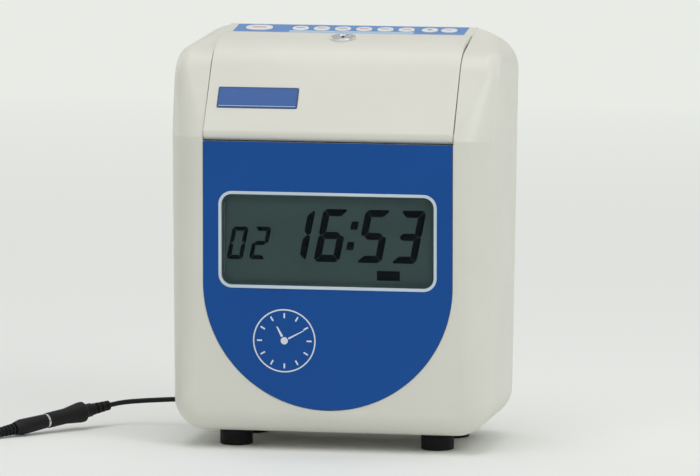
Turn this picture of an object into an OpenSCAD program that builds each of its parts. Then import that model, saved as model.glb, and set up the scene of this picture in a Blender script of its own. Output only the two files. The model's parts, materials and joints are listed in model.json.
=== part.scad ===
// Desktop time recorder: ivory housing, lockable lid, nine keys and a card printer
// Millimetres, +Z up, origin on the floor under the middle of the body

/* [Body] */
// Width of the body across its shoulders
shoulder_w = 171; // [168:1:178]
// Width of the body near its floor
floor_w = 165; // [160:1:168]
// Depth of the body
body_d = 97; // [96:1:104]
// Height from the body's floor to the front panel's top edge
front_h = 151; // [146:1:160]
// Height of the shoulders' ridge above the panel's top edge
ridge_h = 54; // [52:0.5:56]
// Wall thickness of the housing
wall = 2.8; // [2.4:0.1:3.2]
// Radius of the lower corners, seen from the front
corner_r = 17; // [15:0.5:19]
// Radius of the edge round the front face
edge_r = 12; // [9:0.5:14]
// Radius of the shoulders at the ridge
shoulder_r = 23.5; // [20:0.5:25]
// Height of the rubber feet
foot_h = 9; // [7:0.5:12]
// Diameter of the rubber feet
foot_dia = 17; // [14:0.5:20]
// Distance between the left and right feet
foot_span_x = 106; // [96:1:112]
// Distance between the front and rear feet
foot_span_y = 46; // [40:1:48]

/* [Front panel] */
// Width of the blue panel and of the lid over it
panel_w = 130; // [126:1:132]
// Height of the panel
panel_h = 138; // [134:1:140]
// Thickness of the panel
panel_t = 1.6; // [1.4:0.1:2]
// How far the panel stands proud of the housing
panel_proud = 0.4; // [0.2:0.1:0.6]
// Width of the display's frame
frame_w = 114; // [110:1:118]
// Height of the display's frame
frame_h = 50; // [46:1:54]
// Width of the frame's light rim
frame_rim = 1.6; // [1.2:0.1:2.2]
// How far the frame stands proud of the panel
frame_proud = 0.4; // [0.2:0.1:0.6]
// Distance from the panel's top edge to the frame
frame_drop = 25.5; // [22:0.5:28]
// Corner radius of the frame
frame_r = 7; // [5:0.5:9]

/* [Lid] */
// Distance from the corner of slope and deck to the lid's rear edge, which sets the slope's angle
bend_room = 25.5; // [24.5:0.1:26]
// Radius of the bend from the slope to the deck
bend_r = 28; // [26:0.5:30]
// Distance from the lid's rear edge to the back of the body
rear_room = 43; // [42.5:0.5:44]
// Height of the lid's rear edge above the panel's top edge
lid_h = 51.6; // [51:0.1:52.5]
// Thickness of the lid
lid_t = 2.2; // [1.8:0.1:2.6]
// Radius of the rolled lower edge that carries the hinge
bead_r = 3.5; // [3.4:0.1:3.7]
// Radius of the hinge pins
hinge_pin_r = 1.6; // [1.4:0.1:1.8]
// Radius of the lock's flange
lock_r = 6.4; // [6:0.1:7]
// Distance from the lid's rear edge to the lock's axis
lock_room = 11.4; // [11.2:0.1:12]
// Width of the bare badge on the slope
badge_w = 42; // [36:1:46]
// Height of the bare badge along the slope
badge_h = 12; // [10:0.5:14]

/* [Keys] */
// Tilt of the key deck towards the front
deck_tilt = 8; // [7:0.5:9]
// Length of the key deck, front to back
deck_l = 19.6; // [19.4:0.1:20]
// Radius of a round key
key_r = 4.4; // [4:0.1:4.5]
// Length of the large oval key
big_key_l = 14.5; // [13:0.5:16]
// Radius of the large oval key's ends
big_key_r = 5.2; // [4.8:0.1:5.5]
// Distance between the six keys in a row
key_pitch = 11.2; // [11:0.1:11.4]
// Height of the keys above the strip
key_rise = 0.5; // [0.4:0.1:0.9]
// Travel of a key
key_travel = 0.8; // [0.5:0.1:0.9]

/* [Printer] */
// Width of the card's path
card_w = 94; // [90:1:96]
// Front to back gap of the card's path
card_gap = 6; // [5.5:0.1:6.2]
// Diameter of the guide rod
rod_dia = 6; // [5:0.5:6.5]
// Diameter of the lead screw
screw_dia = 5; // [4:0.5:5.5]
// Radius of the feed rollers
roller_r = 7.5; // [7:0.1:7.6]
// Radius of the pinch rollers
pinch_r = 4; // [3.5:0.1:4.2]
// Distance between the feed roller and the pinch roller
nip = 0.8; // [0.6:0.1:1]
// Diameter of the power lead
lead_dia = 2.6; // [2.4:0.1:2.8]

/* [Hidden] */
$fn = 48;

// Clearances
seam = 0.4;        // lid to housing, round its edges
run = 0.05;        // a shaft in its bearing, on the radius
key_gap = 0.3;     // a key in its hole, on the radius
hair = 0.1;        // a stop and what rests on it

// Heights and depths that the rest hangs on
panel_z = foot_h + front_h;
front_out = panel_proud + frame_proud;
mid_d = (body_d - front_out) / 2;
lid_d = body_d - rear_room;
bay_w = panel_w + 2 * seam;
cheek_t = 2.4;
cheek_low = panel_z - 34;
trough_d = 2 * bead_r + 2.6;
trough_h = 7.5;
floor_z = foot_h + wall + 0.1;
function yf(d) = d - mid_d;

// Body form: the rounded corners that its skin is drawn over
bend_z = 4.3;
bend_post_r = 23;
bend_edge_r = 3.2;
brow_r = 21;
brow_edge_r = 8.5;
brow_d = 38.5;
brow_z = 25;
ridge_d = body_d - 26;
crown_r = 18;
crown_z = 32.5;

// Lid profile, in depth and in height above the panel's top edge
slope_foot = [0, 4.9];
lid_end = [lid_d, lid_h];
lid_corner = lid_end - bend_room * [1, tan(deck_tilt)];
slope_deg = atan2(lid_corner[1] - slope_foot[1], lid_corner[0] - slope_foot[0]);
slope_n = [-sin(slope_deg), cos(slope_deg)];
deck_n = [-sin(deck_tilt), cos(deck_tilt)];
bend_c = meet(slope_n, slope_foot * slope_n - bend_r, deck_n, lid_end * deck_n - bend_r);
bead_c = [bead_r, bead_r + seam];
lock_p = lid_end - lock_room * [cos(deck_tilt), sin(deck_tilt)];
bend_steps = 20;
badge_along = 20;
badge_x = -38.5;
badge_t = 0.8;

// Lock, measured along its axis from the lid's surface
lock_seat = 0.7;
lock_rise = 1.3;
barrel_r = 4.9;
barrel_l = 14.2;
lock_plug_r = 3.5;
pad_t = 2.6;
nut_t = 3;
cam_t = 1.6;
cam_l = 16;
cam_w = 6.4;
cam_pin_r = 2;

// Keys
strip_t = 1;
deck_t = 2.4;
key_mid = 9.6;
big_key_x = -48.5;
row_x = -26.6;
pair_x = [41.7, 51.9];
key_hole_r = key_r + key_gap;
key_bevel = 0.25;
collar_over = 0.25;
collar_t = 0.9;
stem_r = 1.8;
stem_l = 1.2;
board_t = 1.6;
switch_a = 6;
switch_h = 1.4;
plunger_r = 1.4;
plunger_top = -deck_t - hair - collar_t - stem_l - key_travel - hair;
plunger_h = 0.6;
key_board_top = plunger_top - plunger_h - switch_h;
deck_lip_t = 2;
lip_l = 12.5;

// Card path, print line and card feed
guide_t = 1.5;
guide_d = lid_d + deck_l + 3.9;
path_d = guide_d + guide_t;
back_d = path_d + card_gap;
plate_t = 2;
print_z = panel_z + 4;
feed_z = panel_z - 40;
wing_in = 54;
wing_t = 2;
flange_w = 92;
flange_l = 16;
wing_front = guide_d - 41.5;
wing_low_front = guide_d - 33.5;
wing_back = back_d + 6;
wing_top = panel_z + 26;
wing_bend = panel_z - 14;
wing_low = panel_z - 56;
wing_rise = 32;
guide_low = foot_h + 31;
guide_high = panel_z - 4;
rod_d = guide_d - 27.5;
screw_d = guide_d - 17.5;
screw_lead = 12;
feed_d = path_d + 1.5 - roller_r;
feed_shaft_r = 2.5;
pinch_d = feed_d + roller_r + nip + pinch_r;
pinch_shaft_r = 1.5;
roller_x = 25;
roller_w = 10;
feed_m = 0.8;
feed_teeth = 36;
pinion_teeth = 12;
feed_motor_d = feed_d - feed_m * (feed_teeth + pinion_teeth) / 2;
screw_m = 0.7;
screw_teeth = 28;
screw_motor_z = print_z - screw_m * (screw_teeth + pinion_teeth) / 2;
gear_t = 4;
gear_x = wing_in + wing_t + 1;
carriage_w = 18;
nose_gap = 0.4;
ribbon_t = 0.2;
ribbon_h = 8;
ribbon_d = path_d + 1;
platen_d = ribbon_d + ribbon_t + 1;
cassette_z = print_z + 11;
cassette_h = 13;
cassette_d = guide_d - 39.5;
cassette_l = 26;
tab_d = guide_d - 37.5;
tab_l = 18;
tab_w = 4;
tab_t = 2;
horn_d = screw_d + 3;
horn_w = 5;
knob_x = 38;
knob_d = rod_d;
knob_r = 7;

// Rear opening and cover
cover_w = 124;
cover_low = panel_z - 128;
cover_high = panel_z + 26;
cover_t = 2;
cover_inset = 1.5;
ledge = 6;
ledge_t = 4;
cover_screw_in = 3.2;
screw_r = 1.5;
screw_head_r = 2.8;
screw_head_t = 1.3;
recess_w = 0.8;
recess_l = 3.4;
recess_t = 0.7;
screw_l = 7;
boss_r = 3.4;

// Cord: where it leaves, the two connectors' axis, and the coil
gland_r = 2.9;
lead_r = lead_dia / 2;
lead_points = [[-90, 36, 13.8], [-94, 36, 13.8], [-99, 36, 13.6], [-104, 36, 13.3],
    [-109, 36, 12.95], [-114, 35.9, 12.6], [-118, 35.5, 12.3], [-121.5, 34.7, 12.05],
    [-125, 33, 11.8], [-127.7, 30.9, 11.55], [-129.6, 28.6, 11.3], [-132, 25.8, 11]];
lead_end = lead_points[len(lead_points) - 1];
gland_end_x = lead_points[0][0];
gland_d = mid_d + lead_points[0][1];
gland_z = lead_points[0][2];
join_p = [-157.9, -5.4, 6.5];
join_dir = unit(join_p - lead_end);
socket_l = norm(lead_end - join_p);
plug_l = 33;
plug_end = join_p + plug_l * join_dir;
adapter_points = [plug_end, plug_end + 3 * join_dir, [-183.5, -36.3, 2.1], [-187, -40.5, 1.7],
    [-190.5, -44.7, 1.5], [-193.5, -48.3, 1.5], [-195.4, -50.6, 1.5]];
coil_in = unit(adapter_points[6] - adapter_points[5]);
coil_step = 3.1;
coil_layer = 3;
coil_inner_r = 10.6;
coil_low = 1.5;
coil_whole_turns = 14;
coil_start_deg = atan2(coil_in[1], coil_in[0]) + 90;
coil_turns = coil_whole_turns + ((coil_start_deg - 180) % 360 + 360) % 360 / 360;
coil_run = (coil_turns - 1.5) / 4;
coil_outer_r = coil_inner_r + coil_run * coil_step;
coil_c = [adapter_points[6][0] - coil_outer_r * cos(coil_start_deg) + lead_dia * coil_in[0],
    adapter_points[6][1] - coil_outer_r * sin(coil_start_deg) + lead_dia * coil_in[1]];
coil_rings = 24;
coil_sides = 6;
adapter_p = [coil_c[0] - coil_outer_r, coil_c[1] + lead_dia, coil_low + 3 * coil_layer];

ivory = [0.85, 0.85, 0.81];
blue = [0.12, 0.3, 0.58];
steel = [0.75, 0.76, 0.78];
black = [0.09, 0.09, 0.1];
green = [0.1, 0.35, 0.2];

// Geometry helpers
function unit(v) = v / norm(v);
function cross_2d(a, b) = a[0] * b[1] - a[1] * b[0];
// Point p with p*a = ka and p*b = kb
function meet(a, ka, b, kb) = [ka * b[1] - kb * a[1], a[0] * kb - b[0] * ka] / cross_2d(a, b);
function mix(a, b, t) = a + (b - a) * t;

module at(d, z, x = 0) {
    translate([x, yf(d), z]) children();
}

// A flat outline in x and z, thickened backwards from depth d
module wall_plate(d, t) {
    translate([0, yf(d) + t, 0]) rotate([90, 0, 0]) linear_extrude(t) children();
}

// A flat outline in y and z, thickened along +x from x
module side_plate(x, t) {
    translate([x, 0, 0]) rotate([90, 0, 90]) linear_extrude(t) children();
}

module both_sides() {
    children();
    mirror([1, 0, 0]) children();
}

module rounded(w, h, r) {
    square([w - 2 * r, h], center = true);
    square([w, h - 2 * r], center = true);
    for (x = [-1, 1], y = [-1, 1]) translate([x * (w / 2 - r), y * (h / 2 - r)]) circle(r);
}

// A rectangle of width w about x = 0, from one height to another
module square_between(w, low, high) {
    translate([-w / 2, low]) square([w, high - low]);
}

module oval(l, r) {
    square([l - 2 * r, 2 * r], center = true);
    for (x = [-1, 1]) translate([x * (l / 2 - r), 0]) circle(r);
}

// A rod along x
module rod_x(r, x0, x1, d, z) {
    at(d, z, x0) rotate([0, 90, 0]) cylinder(r = r, h = x1 - x0);
}

// A flat disc with a round edge, along z
module puck(r, e) {
    rotate_extrude($fn = 32) intersection() {
        union() {
            translate([0, -e]) square([r - e, 2 * e]);
            translate([r - e, 0]) circle(e);
        }
        translate([0, -e]) square([r, 2 * e]);
    }
}

// Turns z to a direction
module aim(p, dir) {
    translate(p) rotate([0, acos(dir[2]), atan2(dir[1], dir[0])]) children();
}

// Involute gear outline, first tooth along +x
function inv(r, base) = r <= base ? 0 : tan(acos(base / r)) * 180 / PI - acos(base / r);
module gear_2d(teeth, m, slack = 0.16) {
    pitch = teeth * m / 2;
    base = pitch * cos(20);
    root = pitch - 1.2 * m;
    tip = pitch + 0.95 * m;
    steps = 4;
    half = 90 / teeth - slack / 2 / pitch * 180 / PI + inv(pitch, base);
    radii = [for (i = [0:steps]) mix(max(base, root), tip, i / steps)];
    function edge(r, s, k) = let (a = k * 360 / teeth + s * (half - inv(r, base))) r * [cos(a), sin(a)];
    polygon([for (k = [0:teeth - 1]) each concat(
        [root * [cos(k * 360 / teeth - half), sin(k * 360 / teeth - half)]],
        [for (i = [0:steps]) edge(radii[i], -1, k)],
        [for (i = [steps:-1:0]) edge(radii[i], 1, k)],
        [root * [cos(k * 360 / teeth + half), sin(k * 360 / teeth + half)]])]);
}

// Tube along points, with square ends
function tube_tangent(p, i) = unit(p[min(i + 1, len(p) - 1)] - p[max(i - 1, 0)]);
function tube_ring(c, t, r, n) = let (u = unit(cross(t, [0, 0, 1])), v = cross(u, t))
    [for (k = [0:n - 1]) c + r * (cos(360 * k / n) * u + sin(360 * k / n) * v)];
module tube(p, r, n) {
    rings = len(p);
    verts = [for (i = [0:rings - 1]) each tube_ring(p[i], tube_tangent(p, i), r, n)];
    sides = [for (i = [0:rings - 2], k = [0:n - 1]) let (a = i * n + k, b = i * n + (k + 1) % n)
        each [[a, b, b + n], [a, b + n, a + n]]];
    cap_a = [for (k = [1:n - 2]) [0, k + 1, k]];
    last = (rings - 1) * n;
    cap_b = [for (k = [1:n - 2]) [last, last + k, last + k + 1]];
    polyhedron(points = verts, faces = concat(sides, cap_a, cap_b));
}

// Housing

module body_form(inset) {
    hull() both_sides() {
        at(edge_r, foot_h + corner_r, floor_w / 2 - corner_r) rotate([90, 0, 0])
            puck(corner_r - inset, edge_r - inset);
        at(body_d - corner_r, foot_h + corner_r, floor_w / 2 - corner_r)
            sphere(corner_r - inset, $fn = 32);
        at(bend_post_r, panel_z + bend_z - bend_edge_r, shoulder_w / 2 - bend_post_r)
            puck(bend_post_r - inset, bend_edge_r - min(inset, bend_edge_r - 0.2));
        at(brow_d, panel_z + brow_z, shoulder_w / 2 - brow_edge_r) rotate([0, 90, 0])
            puck(brow_r - inset, brow_edge_r - inset);
        at(ridge_d, panel_z + ridge_h - shoulder_r, shoulder_w / 2 - shoulder_r)
            sphere(shoulder_r - inset, $fn = 32);
        at(body_d - crown_r, panel_z + crown_z, shoulder_w / 2 - crown_r)
            sphere(crown_r - inset, $fn = 32);
    }
}

module panel_outline(grow = 0) {
    round_z = panel_h - panel_w / 2;
    translate([-panel_w / 2 - grow, panel_z - round_z]) square([panel_w + 2 * grow, round_z]);
    translate([0, panel_z - round_z]) circle(panel_w / 2 + grow);
}

frame_z = panel_z - frame_drop - frame_h / 2;
glass_w = frame_w - 2 * frame_rim;
glass_h = frame_h - 2 * frame_rim;
sight_w = glass_w - 2;
sight_h = glass_h - 2;
lcd_w = glass_w + 2;
lcd_h = glass_h + 2;
lcd_t = 3;
post_x = lcd_w / 2 + 3;
post_z = lcd_h / 2 - 4;
board_x = 46;
board_z = [foot_h + 25, frame_z - lcd_h / 2 - 9.1];
board_edge = 5;
main_d = 22;
throat_d = lid_d + deck_l + 0.6;
bay_back_d = back_d + plate_t + 4.5;

module bay_cut() {
    at(-1, panel_z, -bay_w / 2) cube([bay_w, bay_back_d + 1, 80]);
}

module hinge_bores() {
    reach = bay_w / 2 + cheek_t + 1;
    rod_x(hinge_pin_r + run, -reach, reach, bead_c[0], panel_z + bead_c[1]);
}

// Walls on both sides of the printer bay, with the bearings of the lid's hinge
module cheeks() {
    intersection() {
        body_form(0.7);
        both_sides() at(0, cheek_low, bay_w / 2) cube([cheek_t, bay_back_d, ridge_h - cheek_low + panel_z]);
    }
}

// Seat of the rear cover: a ledge inside the rear opening and the collar that carries it
module rear_ledge() {
    seat_d = body_d - cover_inset - cover_t;
    wall_plate(seat_d - ledge_t, ledge_t) difference() {
        square_between(cover_w + 4, cover_low - 2, cover_high + 2);
        square_between(cover_w - 2 * ledge, cover_low + ledge, cover_high - ledge);
    }
    wall_plate(seat_d - ledge_t, ledge_t + cover_t) difference() {
        square_between(cover_w + 4, cover_low - 2, cover_high + 2);
        square_between(cover_w + seam, cover_low - seam / 2, cover_high + seam / 2);
    }
}

module cover_screw_places() {
    for (x = [-1, 1], z = [cover_low + cover_screw_in, cover_high - cover_screw_in])
        at(body_d - cover_inset, z, x * (cover_w / 2 - cover_screw_in)) rotate([90, 0, 0]) children();
}

module foot_places() {
    for (x = [-1, 1], y = [-1, 1]) translate([x * foot_span_x / 2, y * foot_span_y / 2, 0]) children();
}

// Trough under the lid's rolled edge, so that nothing shows through the gap below it
module hinge_trough() {
    at(wall - 0.4, panel_z - 5, -bay_w / 2) cube([bay_w, trough_d - wall + 0.4, 2]);
    at(trough_d - 2, panel_z - 5, -bay_w / 2) cube([bay_w, 2, trough_h]);
}

module housing() {
    color(ivory) hinge_trough();
    color(ivory) difference() {
        union() {
            difference() {
                body_form(0);
                body_form(wall);
                wall_plate(body_d - 8, 9)
                    square_between(cover_w + seam, cover_low - seam / 2, cover_high + seam / 2);
            }
            cheeks();
            rear_ledge();
            // Posts of the display board and of the main board
            for (x = [-1, 1], z = [-1, 1]) at(wall - 0.4, frame_z + z * post_z, x * post_x)
                rotate([-90, 0, 0]) cylinder(r = 2.4, h = lcd_t + 0.4);
            for (x = [-1, 1], z = board_z) at(wall - 0.4, z, x * board_x) rotate([-90, 0, 0])
                cylinder(r = 3, h = main_d - wall + 0.4);
            foot_places() translate([0, 0, foot_h + 1]) cylinder(r = boss_r, h = 11);
        }
        bay_cut();
        hinge_bores();
        // Recess of the front panel and the display's sight hole
        wall_plate(-1, 1 + panel_t - panel_proud) panel_outline(seam / 2);
        wall_plate(-1, wall + 2) translate([0, frame_z]) square([sight_w, sight_h], center = true);
        foot_places() cylinder(r = screw_r, h = foot_h + 9);
        cover_screw_places() cylinder(r = screw_r, h = screw_l);
        at(gland_d, gland_z, -floor_w / 2 - 4) rotate([0, 90, 0]) cylinder(r = gland_r, h = 18.5);
    }
}

vent_n = 7;
vent_w = 46;
vent_h = 2;
vent_step = 5;
keyhole_x = 40;
keyhole_z = panel_z - 8;
keyhole_r = 4.5;
keyhole_slot = 2.2;
keyhole_up = 9;

module rear_cover() {
    color(ivory) difference() {
        wall_plate(body_d - cover_inset - cover_t, cover_t) difference() {
            square_between(cover_w, cover_low, cover_high);
            for (x = [-1, 1]) translate([x * keyhole_x, keyhole_z]) {
                circle(keyhole_r);
                translate([-keyhole_slot, 0]) square([2 * keyhole_slot, keyhole_up]);
                translate([0, keyhole_up]) circle(keyhole_slot);
            }
            for (i = [0:vent_n - 1])
                translate([0, cover_low + 20 + i * vent_step]) oval(vent_w, vent_h / 2);
        }
        cover_screw_places() translate([0, 0, -1]) cylinder(r = screw_r + 0.1, h = cover_t + 2);
    }
}

// A screw with a cross recess in its head
module screw(l) {
    difference() {
        translate([0, 0, -screw_head_t]) cylinder(r = screw_head_r, h = screw_head_t);
        for (a = [0, 90]) rotate(a) translate([-recess_l / 2, -recess_w / 2, -screw_head_t - 1])
            cube([recess_l, recess_w, recess_t + 1]);
    }
    cylinder(r = screw_r, h = l);
}

module case_screws() {
    color(steel) cover_screw_places() screw(screw_l - 0.5);
}

foot_recess = 3;

module rubber_feet() {
    color(black) foot_places() difference() {
        cylinder(r = foot_dia / 2, h = foot_h);
        translate([0, 0, -1]) cylinder(r = screw_head_r + 0.6, h = foot_recess + 1);
        cylinder(r = screw_r + 0.1, h = foot_h + 1);
    }
}

module foot_screws() {
    color(steel) foot_places() translate([0, 0, foot_recess]) screw(foot_h + 5.5);
}

module front_panel() {
    color(blue) wall_plate(-panel_proud, panel_t) difference() {
        panel_outline();
        translate([0, frame_z]) rounded(frame_w, frame_h, frame_r);
    }
}

module display_frame() {
    color([0.74, 0.78, 0.84]) wall_plate(-front_out, panel_t + frame_proud)
        translate([0, frame_z]) difference() {
            rounded(frame_w, frame_h, frame_r);
            rounded(glass_w, glass_h, frame_r - frame_rim);
        }
}

module display_window() {
    color([0.6, 0.7, 0.72, 0.4]) wall_plate(-panel_proud, panel_t) translate([0, frame_z])
        rounded(glass_w, glass_h, frame_r - frame_rim);
}

module lcd_glass() {
    color([0.24, 0.28, 0.28]) wall_plate(wall, lcd_t) translate([0, frame_z])
        square([lcd_w, lcd_h], center = true);
}

module lcd_board() {
    color(green) wall_plate(wall + lcd_t, board_t) translate([0, frame_z])
        square([2 * post_x + 6, lcd_h + 6], center = true);
}

module main_board() {
    low = board_z[0];
    parts_d = main_d + board_t;
    color(green) {
        wall_plate(main_d, board_t)
            square_between(2 * (board_x + board_edge), low - board_edge, board_z[1] + board_edge);
        // Soldered parts: processor, driver chips, capacitors, buzzer and plug headers
        wall_plate(parts_d, 3) {
            translate([-20, low + 14]) square(18);
            for (z = [8, 26]) translate([8, low + z]) square([22, 9]);
        }
        for (x = [-40, -31]) at(parts_d, low + 10, x) rotate([-90, 0, 0]) cylinder(r = 4, h = 11);
        at(parts_d, low + 38, -37) rotate([-90, 0, 0]) cylinder(r = 6, h = 8);
        wall_plate(parts_d, 8) translate([-12, board_z[1] - 3]) square([40, 6]);
    }
}

battery_r = 7;
battery_l = 30;
battery_d = back_d - flange_l - 5 * battery_r - 2;
battery_x = 12;

module backup_battery() {
    color([0.2, 0.45, 0.3]) for (i = [0:2]) at(battery_d + i * 2 * battery_r, floor_z + battery_r, battery_x)
        rotate([0, 90, 0]) cylinder(r = battery_r, h = battery_l);
}

// Key deck, in its own tilted frame: x, back along the deck, up from its face
module on_deck() {
    at(lid_d + seam, panel_z + lid_h + seam * sin(deck_tilt)) rotate([deck_tilt, 0, 0]) children();
}

key_xs = concat([for (i = [0:5]) row_x + i * key_pitch], pair_x);
strip_w = 122;
strip_front = 1;
strip_back = 18.4;

module key_holes(low, high) {
    for (x = key_xs) translate([x, key_mid, low]) cylinder(r = key_hole_r, h = high - low);
    translate([big_key_x, key_mid, low]) linear_extrude(high - low)
        oval(big_key_l + 2 * key_gap, big_key_r + key_gap);
}

module key_deck() {
    color(ivory) on_deck() difference() {
        union() {
            translate([-bay_w / 2, 0, -deck_t]) cube([bay_w, deck_l - seam, deck_t]);
            // Front lip that the lid rests on and the lock's cam catches, and rear wall
            translate([-bay_w / 2, -2.4, -lid_t - hair - 2]) cube([bay_w, 4.4, 2]);
            translate([-bay_w / 2, 0, -lip_l]) cube([bay_w, deck_lip_t, lip_l]);
            translate([-bay_w / 2, deck_l - seam - deck_lip_t, -lip_l]) cube([bay_w, deck_lip_t, lip_l]);
        }
        translate([-strip_w / 2, strip_front, -strip_t])
            cube([strip_w, strip_back - strip_front, strip_t + 1]);
        key_holes(-deck_t - 1, 1);
    }
}

module key_strip() {
    color([0.41, 0.57, 0.8]) on_deck() difference() {
        translate([-strip_w / 2, strip_front, -strip_t])
            cube([strip_w, strip_back - strip_front, strip_t]);
        key_holes(-strip_t - 1, 1);
    }
}

module key_board() {
    color(green) on_deck() {
        translate([-bay_w / 2 + 2, deck_lip_t, key_board_top - board_t])
            cube([bay_w - 4, deck_l - seam - 2 * deck_lip_t, board_t]);
        for (x = concat(key_xs, [big_key_x])) translate([x, key_mid, key_board_top]) {
            translate([-switch_a / 2, -switch_a / 2, -0.1]) cube([switch_a, switch_a, switch_h + 0.1]);
            cylinder(r = plunger_r, h = switch_h + plunger_h);
        }
    }
}

// A key: cap with a bevelled crown, collar that holds it in, stem over its switch
module round_key(x) {
    color([0.93, 0.93, 0.92]) on_deck() translate([x, key_mid, 0]) {
        translate([0, 0, key_rise - key_bevel]) cylinder(r1 = key_r, r2 = key_r - key_bevel, h = key_bevel);
        translate([0, 0, -deck_t - hair]) cylinder(r = key_r, h = deck_t + hair + key_rise - key_bevel);
        translate([0, 0, -deck_t - hair - collar_t]) cylinder(r = key_hole_r + collar_over, h = collar_t);
        translate([0, 0, -deck_t - hair - collar_t - stem_l]) cylinder(r = stem_r, h = stem_l);
    }
}

module key_main() {
    over = key_gap + collar_over;
    color([0.93, 0.93, 0.92]) on_deck() translate([big_key_x, key_mid, 0]) {
        translate([0, 0, -deck_t - hair]) linear_extrude(deck_t + hair + key_rise)
            oval(big_key_l, big_key_r);
        translate([0, 0, -deck_t - hair - collar_t]) linear_extrude(collar_t)
            oval(big_key_l + 2 * over, big_key_r + over);
        translate([0, 0, -deck_t - hair - collar_t - stem_l]) cylinder(r = stem_r, h = stem_l);
    }
}

// Printer and card path

throat_top = panel_z + lid_h + deck_l * sin(deck_tilt) - 1.2;
throat_low = panel_z + 29;
throat_slope = 24;
throat_front_h = 12;
throat_back_h = 20;

module card_throat() {
    color(ivory) difference() {
        union() {
            // Block round the mouth, its top falling to the back
            side_plate(-bay_w / 2, bay_w) polygon([
                [yf(throat_d) + throat_front_h * tan(deck_tilt), throat_top - throat_front_h],
                [yf(throat_d), throat_top],
                [yf(bay_back_d), throat_top - (bay_back_d - throat_d) * tan(throat_slope)],
                [yf(bay_back_d), throat_top - throat_back_h],
                [yf(back_d + plate_t), throat_top - throat_back_h],
                [yf(back_d + plate_t), throat_top - throat_front_h]]);
            wall_plate(guide_d, guide_t) square_between(2 * wing_in - 4, throat_low, throat_top - 4);
        }
        at(path_d, throat_low - 1, -card_w / 2) cube([card_w, card_gap, 60]);
        // Flare that leads the card in
        side_plate(-card_w / 2, card_w) polygon([[yf(path_d), throat_top - 5],
            [yf(path_d) - 1.6, throat_top + 2], [yf(back_d) + 2.5, throat_top + 2],
            [yf(back_d), throat_top - 6]]);
    }
}

module card_guide() {
    color(steel) difference() {
        wall_plate(guide_d, guide_t) square_between(2 * wing_in, guide_low, guide_high);
        for (s = [-1, 1]) at(guide_d - 1, feed_z - roller_r - 1, s * roller_x - roller_w / 2 - 1)
            cube([roller_w + 2, guide_t + 2, 2 * roller_r + 2]);
    }
}

module wing_outline() {
    polygon([[yf(wing_front), wing_bend], [yf(wing_low_front), wing_low], [yf(wing_back), wing_low],
        [yf(wing_back), wing_low + wing_rise], [yf(back_d + plate_t), wing_bend],
        [yf(back_d + plate_t), wing_top], [yf(wing_front), wing_top]]);
}

module chassis() {
    color(steel) difference() {
        union() {
            wall_plate(back_d, plate_t)
                square_between(2 * (wing_in + wing_t), floor_z + 4, throat_top - throat_front_h);
            // Foot flange between the bosses of the rear feet
            side_plate(-flange_w / 2, flange_w) polygon([
                [yf(back_d - flange_l), floor_z], [yf(back_d - 6), floor_z],
                [yf(back_d + plate_t), floor_z + 4], [yf(back_d + plate_t), floor_z + 6],
                [yf(back_d), floor_z + 6], [yf(back_d - 7), floor_z + plate_t],
                [yf(back_d - flange_l), floor_z + plate_t]]);
            for (x = [-wing_in - wing_t, wing_in]) side_plate(x, wing_t) wing_outline();
            // Tabs under the ribbon cassette
            both_sides() at(tab_d, cassette_z - tab_t, wing_in - tab_w) cube([tab_w, tab_l, tab_t]);
        }
        // Window for the pinch roller
        at(back_d - 1, feed_z - 7, -wing_in) cube([2 * wing_in, plate_t + 2, 14]);
        rod_x(rod_dia / 2, -90, 90, rod_d, print_z);
        rod_x(screw_dia / 2 + run, -90, 90, screw_d, print_z);
        rod_x(feed_shaft_r + run, -90, 90, feed_d, feed_z);
        rod_x(pinch_shaft_r + run, -90, 90, pinch_d, feed_z);
        rod_x(3, -90, 0, feed_motor_d, feed_z);
        rod_x(3, 0, 90, screw_d, screw_motor_z);
    }
}

module platen() {
    color(black) at(platen_d, print_z - 7, -card_w / 2) cube([card_w, back_d - platen_d, 14]);
}

module guide_rod() {
    color(steel) rod_x(rod_dia / 2, -wing_in - wing_t, wing_in + wing_t, rod_d, print_z);
}

motor_shaft_r = 1.2;

// A motor flat on the inside of a wing, its shaft through it; s is the wing's side
module motor(s, r, l, d, z) {
    x = s * wing_in;
    rod_x(r, min(x, x - s * l), max(x, x - s * l), d, z);
}

module feed_motor() {
    color([0.6, 0.6, 0.62]) motor(-1, 10, 30, feed_motor_d, feed_z);
}

module carriage_motor() {
    color([0.6, 0.6, 0.62]) motor(1, 6.2, 28, screw_d, screw_motor_z);
}

// A pinion with its motor's shaft
module pinion(s, m, d, z, turn) {
    color([0.88, 0.87, 0.82]) {
        x0 = s > 0 ? gear_x : -gear_x - gear_t;
        side_plate(x0, gear_t) translate([yf(d), z]) rotate(turn) gear_2d(pinion_teeth, m);
        x1 = s * (wing_in + hair);
        rod_x(motor_shaft_r, min(x1, s * (gear_x + gear_t)), max(x1, s * (gear_x + gear_t)), d, z);
    }
}

module feed_pinion() {
    pinion(-1, feed_m, feed_motor_d, feed_z, 180 / pinion_teeth);
}

module screw_pinion() {
    pinion(1, screw_m, screw_d, screw_motor_z, 90 + 180 / pinion_teeth);
}

module wheel(s, teeth, m, d, z, turn, bore) {
    color([0.88, 0.87, 0.82]) side_plate(s > 0 ? gear_x : -gear_x - gear_t, gear_t) translate([yf(d), z])
        difference() {
            rotate(turn) gear_2d(teeth, m);
            circle(bore);
        }
}

module feed_gear() {
    wheel(-1, feed_teeth, feed_m, feed_d, feed_z, 180, feed_shaft_r);
}

module screw_gear() {
    wheel(1, screw_teeth, screw_m, screw_d, print_z, 270, screw_dia / 2);
}

module feed_shaft() {
    color(steel) rod_x(feed_shaft_r, -gear_x - gear_t, wing_in + wing_t + 1, feed_d, feed_z);
}

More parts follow.
